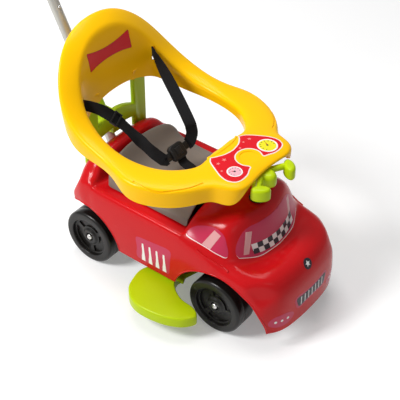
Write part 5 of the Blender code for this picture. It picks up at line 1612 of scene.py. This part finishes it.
def build_windscreen_stickers(films):
    """The screen with a pale lower edge, a chequered band along it and two pale bands painted on as
    reflections of light.
    """
    plane = films.plane = Sheet((0, -0.212, 0.195), (1, 0, 0), (0, 0.45, 0.89))
    edge = [p.to_3d() for p in plane.flat(SCREEN_HALF)]
    half = [p.to_2d() for p in curve_through(edge[:4], 16)[:-1] + curve_through(edge[3:], 26)]
    whole = half + [Vector((-p.x, p.y)) for p in reversed(half[1:-1])]
    films.lay("windscreen_border", whole, "pale", 1)
    films.lay("windscreen_film", [p + Vector((0, 0.0017)) for p in whole], "rose", 2)

    def bent(points):
        return [Vector((x, v + SCREEN_BEND * (x / SCREEN_REACH) ** 2)) for x, v in points]

    wide, tall, base = CHECK_WIDTH, CHECK_HEIGHT, SCREEN_BASE
    reach = wide * CHECK_COUNT / 2
    steps = [reach * (k / 12 - 1) for k in range(25)]
    strip = bent([(x, base) for x in steps] + [(x, base + 2 * tall) for x in reversed(steps)])
    films.lay("windscreen_check_band", strip, "white", 3)
    for k in range(CHECK_COUNT):
        x, v = k * wide - reach, base + tall * (k % 2)
        square = bent(((x, v), (x + wide, v), (x + wide, v + tall), (x, v + tall)))
        films.lay(f"windscreen_check_{k}", square, "ink", 4)
    # Two pale diagonal stripes painted on as reflections of light on the screen
    for k, x in enumerate(SCREEN_GLARES):
        light = bent([(x + across, v) for across, v in SCREEN_GLARE])
        films.lay(f"windscreen_glare_{k}", light, "painted_glare", 2.5)


def on_side(points, side, middle):
    """Points of (y, z) on a flank, drawn from the middle of its plane."""
    return [Vector((side * (y - middle[0]), z - middle[1])) for y, z in points]


def build_side_stickers(films):
    for side, hand in ((-1, "right"), (1, "left")):
        films.plane = Sheet((side * 0.125, *SIDE_WINDOW_MIDDLE), (0, side, 0), (0, 0, 1))
        flat = [p.to_3d() for p in on_side(SIDE_WINDOW, side, SIDE_WINDOW_MIDDLE)]
        outline = [p.to_2d() for p in curve_through(flat, 60, closed=True)]
        films.lay(f"side_window_border_{hand}", outline, "pale", 1)
        films.lay(f"side_window_{hand}", [p + Vector((0, 0.0014)) for p in outline], "rose", 2)
        # A pale stripe painted on as a reflection on the window
        light = on_side(SIDE_GLARE, side, SIDE_WINDOW_MIDDLE)
        films.lay(f"side_window_glare_{hand}", light, "painted_glare", 3)
    for side, hand in ((-1, "right"), (1, "left")):
        films.plane = Sheet((side * 0.14, *FLANK_MIDDLE), (0, side, 0), (0, 0, 1))
        panel = rounded(on_side(FLANK_PANEL, side, FLANK_MIDDLE), 0.006)
        films.lay(f"flank_panel_{hand}", panel, "rose", 1)
        for k in range(4):
            bar = on_side([(y - FLANK_BAR_STEP * k, z) for y, z in FLANK_BAR], side, FLANK_MIDDLE)
            films.lay(f"flank_bar_{hand}_{k}", rounded(bar, 0.0015, 3), "white", 2)


def build_nose_stickers(films):
    films.plane = Sheet((0, -0.296, 0.1545), (1, 0, 0), (0, 0.62, 0.78))
    films.lay("nose_badge", disc(0, 0, BADGE_R), "ink", 1)
    films.lay("nose_badge_star", star(0, 0, BADGE_STAR_R), "white", 2)
    films.plane = Sheet((0, -0.306, 0.085), (1, 0, 0), (0, 0, 1))
    grille = rounded([Vector(p) for p in GRILLE], 0.008)
    films.lay("grille_surround", grown(grille, 0.005), "rose", 1)
    films.lay("grille_opening", grille, "ink", 2)
    for k in range(7):
        bar = [Vector((x + GRILLE_STEP * (k - 3), y)) for x, y in GRILLE_BAR]
        films.lay(f"grille_bar_{k}", bar, "white", 3)
    for side, hand in ((-1, "right"), (1, "left")):
        films.plane = Sheet((side * 0.088, -0.298, 0.066), (1, 0.55 * side, 0), (0, 0, 1))
        films.lay(f"fog_lamp_{hand}", disc(0, 0, *LAMP_PATCH, 48), "rose", 1)
        for k in range(3):
            dot = disc(LAMP_DOT_STEP * (k - 1), 0.0, LAMP_DOT_R, count=20)
            films.lay(f"fog_lamp_dot_{hand}_{k}", dot, "white", 2)


# Carried-over metal and black mouldings

def dress_carried_nodes():
    for name in ("chassis", "toy_bin", "steering_yoke", "strap_anchor_left", "strap_anchor_right"):
        dress(name, "frame_black")
    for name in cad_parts:
        if any(word in name for word in ("screw", "pin", "pivot", "axle", "snap")):
            dress(name, "bright_steel")
    dress("footrest_carrier", "lime_plastic")


def dress(name, look):
    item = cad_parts[name]
    if not item.material_slots:
        item.data.materials.append(surface(look))
    for place in item.material_slots:
        place.material = surface(look)


# Stage

FLOOR_COLOUR = (0.82, 0.82, 0.82)
FLOOR_GLOW = 0.24
FLOOR_HALF = 9.0
WORLD_LIGHT = 0.22
WORLD_IN_GLOSS = 0.35
LAMP_TARGET = (0, -0.1, 0.2)
LAMPS = (
    ("key", (-1.9, 0.9, 2.3), (0.9, 0.9), 76),
    ("fill", (-1.2, -2.4, 1.6), (1.2, 1.0), 3),
    ("top", (0.5, 0.4, 2.9), (1.6, 1.6), 40),
)


def stage_material(name, colour, glow):
    """Pale, and lit a little for the camera and in reflections only."""
    made = bpy.data.materials.new(name)
    made.use_nodes = True
    tree = made.node_tree
    tree.nodes.clear()
    path = node(tree, "LightPath").outputs
    seen = math(tree, "MAXIMUM", path["Is Camera Ray"],
                math(tree, "MAXIMUM", path["Is Glossy Ray"], path["Is Transmission Ray"]))
    diffuse = node(tree, "BsdfDiffuse", {"Color": (*colour, 1.0)})
    emission = node(tree, "Emission", {"Color": (1.0, 1.0, 1.0, 1.0),
                                       "Strength": math(tree, "MULTIPLY", seen, glow)})
    total = node(tree, "AddShader")
    tree.links.new(diffuse.outputs[0], total.inputs[0])
    tree.links.new(emission.outputs[0], total.inputs[1])
    output = node(tree, "OutputMaterial")
    tree.links.new(total.outputs[0], output.inputs[0])
    return made


def build_floor():
    bm = bmesh.new()
    bmesh.ops.create_grid(bm, x_segments=1, y_segments=1, size=FLOOR_HALF)
    floor = loose("floor", mesh_from(bm, "floor"))
    floor.data.materials.append(stage_material("floor", FLOOR_COLOUR, FLOOR_GLOW))


def build_world():
    world = bpy.data.worlds.new("studio")
    bpy.context.scene.world = world
    world.use_nodes = True
    tree = world.node_tree
    back = tree.nodes["Background"]
    path = node(tree, "LightPath").outputs
    seen = math(tree, "MAXIMUM", path["Is Camera Ray"],
                math(tree, "MULTIPLY", path["Is Glossy Ray"], WORLD_IN_GLOSS))
    strength = node(tree, "MapRange", {"Value": seen, "To Min": WORLD_LIGHT, "To Max": 1.0})
    tree.links.new(strength.outputs[0], back.inputs["Strength"])
    back.inputs["Color"].default_value = (1.0, 1.0, 1.0, 1.0)


def area_light(name, spot, size, power):
    data = bpy.data.lights.new(name, "AREA")
    data.shape = "RECTANGLE"
    data.size, data.size_y = size
    data.energy = power
    lamp = bpy.data.objects.new(name, data)
    bpy.context.scene.collection.objects.link(lamp)
    lamp.location = spot
    lamp.rotation_mode = "QUATERNION"
    lamp.rotation_quaternion = (Vector(LAMP_TARGET) - Vector(spot)).to_track_quat("-Z", "Y")


def build_camera():
    data = bpy.data.cameras.new("camera")
    data.lens = CAMERA_LENS
    data.sensor_width = 36.0
    data.clip_end = 50.0
    camera = bpy.data.objects.new("camera", data)
    bpy.context.scene.collection.objects.link(camera)
    a, e = CAMERA_AZIMUTH, CAMERA_ELEVATION
    back = Vector((sin(a) * cos(e), -cos(a) * cos(e), sin(e)))
    target = Vector(CAMERA_TARGET) + Vector((0.0, MIDDLE_Y, 0.0))
    camera.location = target + back * CAMERA_DISTANCE
    camera.rotation_mode = "QUATERNION"
    turn = (-back).to_track_quat("-Z", "Y")
    roll = Matrix.Rotation(CAMERA_ROLL, 4, "Z").to_quaternion()
    camera.rotation_quaternion = turn @ roll
    bpy.context.scene.camera = camera


def build_stage():
    build_floor()
    build_world()
    for lamp in LAMPS:
        area_light(*lamp)
    build_camera()
    bpy.context.scene.view_settings.view_transform = "Standard"


class Builder:
    """What every button of the panel shares."""

    bl_options = {"REGISTER", "UNDO"}

    def execute(self, context):
        self.build()
        return {"FINISHED"}


def finished_piece(name):
    item = bpy.data.objects.get(name)
    if item is None:
        raise RuntimeError(f"build {name} first")
    return item


class CAR_OT_shell(Builder, bpy.types.Operator):
    """Build the car's moulded shell, its arch lips and flank beads"""
    bl_idname = "car.shell"
    bl_label = "Shell"

    def build(self):
        shell = build_body_shell()
        arch_lip(shell, "front_arch_lip", FRONT_ARCH_Y, FRONT_ARCH_Z, FRONT_ARCH_R, 4, 176)
        arch_lip(shell, "rear_arch_lip", REAR_Y, WHEEL_R, REAR_ARCH_R, 30, 172)
        fender_bead(shell)


class CAR_OT_seat(Builder, bpy.types.Operator):
    """Build the moulded seat"""
    bl_idname = "car.seat"
    bl_label = "Seat"

    def build(self):
        build_seat()


class CAR_OT_ring(Builder, bpy.types.Operator):
    """Build the guard ring with its dish, grooves and strap slots"""
    bl_idname = "car.ring"
    bl_label = "Guard ring"

    def build(self):
        build_guard_ring()


class CAR_OT_wheels(Builder, bpy.types.Operator):
    """Build the four wheels and their hub caps"""
    bl_idname = "car.wheels"
    bl_label = "Wheels"

    def build(self):
        build_wheels()


class CAR_OT_steering(Builder, bpy.types.Operator):
    """Build the handlebar, its rod and its bush"""
    bl_idname = "car.steering"
    bl_label = "Handlebar"

    def build(self):
        build_handlebar()


class CAR_OT_footrests(Builder, bpy.types.Operator):
    """Build the two footrests"""
    bl_idname = "car.footrests"
    bl_label = "Footrests"

    def build(self):
        build_footrests()


class CAR_OT_push(Builder, bpy.types.Operator):
    """Build the back frame, the push tube and its handle"""
    bl_idname = "car.push"
    bl_label = "Back frame and tube"

    def build(self):
        build_back_frame()
        build_push_tube()
        build_push_handle()


class CAR_OT_harness(Builder, bpy.types.Operator):
    """Build the webbing, the buckle and the slide"""
    bl_idname = "car.harness"
    bl_label = "Harness"

    def build(self):
        build_straps()
        build_buckle()
        build_strap_adjuster()


class CAR_OT_stickers(Builder, bpy.types.Operator):
    """Lay the stickers on the shell and the ring"""
    bl_idname = "car.stickers"
    bl_label = "Stickers"

    def build(self):
        ring = finished_piece("guard_ring_moulding")
        build_tray_stickers(ring)
        build_backrest_sticker(ring)
        films = Stickers(finished_piece("body_shell_moulding"), "red_plastic")
        build_windscreen_stickers(films)
        build_side_stickers(films)
        build_nose_stickers(films)


class CAR_OT_metal(Builder, bpy.types.Operator):
    """Dress the chassis, bin, pins, screws and axles"""
    bl_idname = "car.metal"
    bl_label = "Hidden parts"

    def build(self):
        dress_carried_nodes()


class CAR_OT_stage(Builder, bpy.types.Operator):
    """Set the floor, the lights and the camera"""
    bl_idname = "car.stage"
    bl_label = "Stage"

    def build(self):
        build_stage()


class CAR_PT_panel(bpy.types.Panel):
    """Buttons and sizes of the ride-on car"""
    bl_idname = "CAR_PT_panel"
    bl_label = "Ride-on car"
    bl_space_type = "VIEW_3D"
    bl_region_type = "UI"
    bl_category = "Ride-on car"

    def draw(self, context):
        column = self.layout.column(align=True)
        for operator in OPERATORS:
            column.operator(operator.bl_idname)
        for group in (context.scene.car_colours, context.scene.car_sizes):
            box = self.layout.box()
            for key in group.__annotations__:
                box.prop(group, key)


OPERATORS = (CAR_OT_shell, CAR_OT_seat, CAR_OT_ring, CAR_OT_wheels, CAR_OT_steering,
             CAR_OT_footrests, CAR_OT_push, CAR_OT_harness, CAR_OT_stickers, CAR_OT_metal,
             CAR_OT_stage)
CLASSES = (CarColours, CarSizes, *OPERATORS, CAR_PT_panel)


def register():
    for item in CLASSES:
        bpy.utils.register_class(item)
    bpy.types.Scene.car_colours = PointerProperty(type=CarColours)
    bpy.types.Scene.car_sizes = PointerProperty(type=CarSizes)


def unregister():
    del bpy.types.Scene.car_colours
    del bpy.types.Scene.car_sizes
    for item in reversed(CLASSES):
        bpy.utils.unregister_class(item)


def main():
    register()
    for operator in OPERATORS:
        group, name = operator.bl_idname.split(".")
        getattr(getattr(bpy.ops, group), name)()


if __name__ == "__main__":
    main()
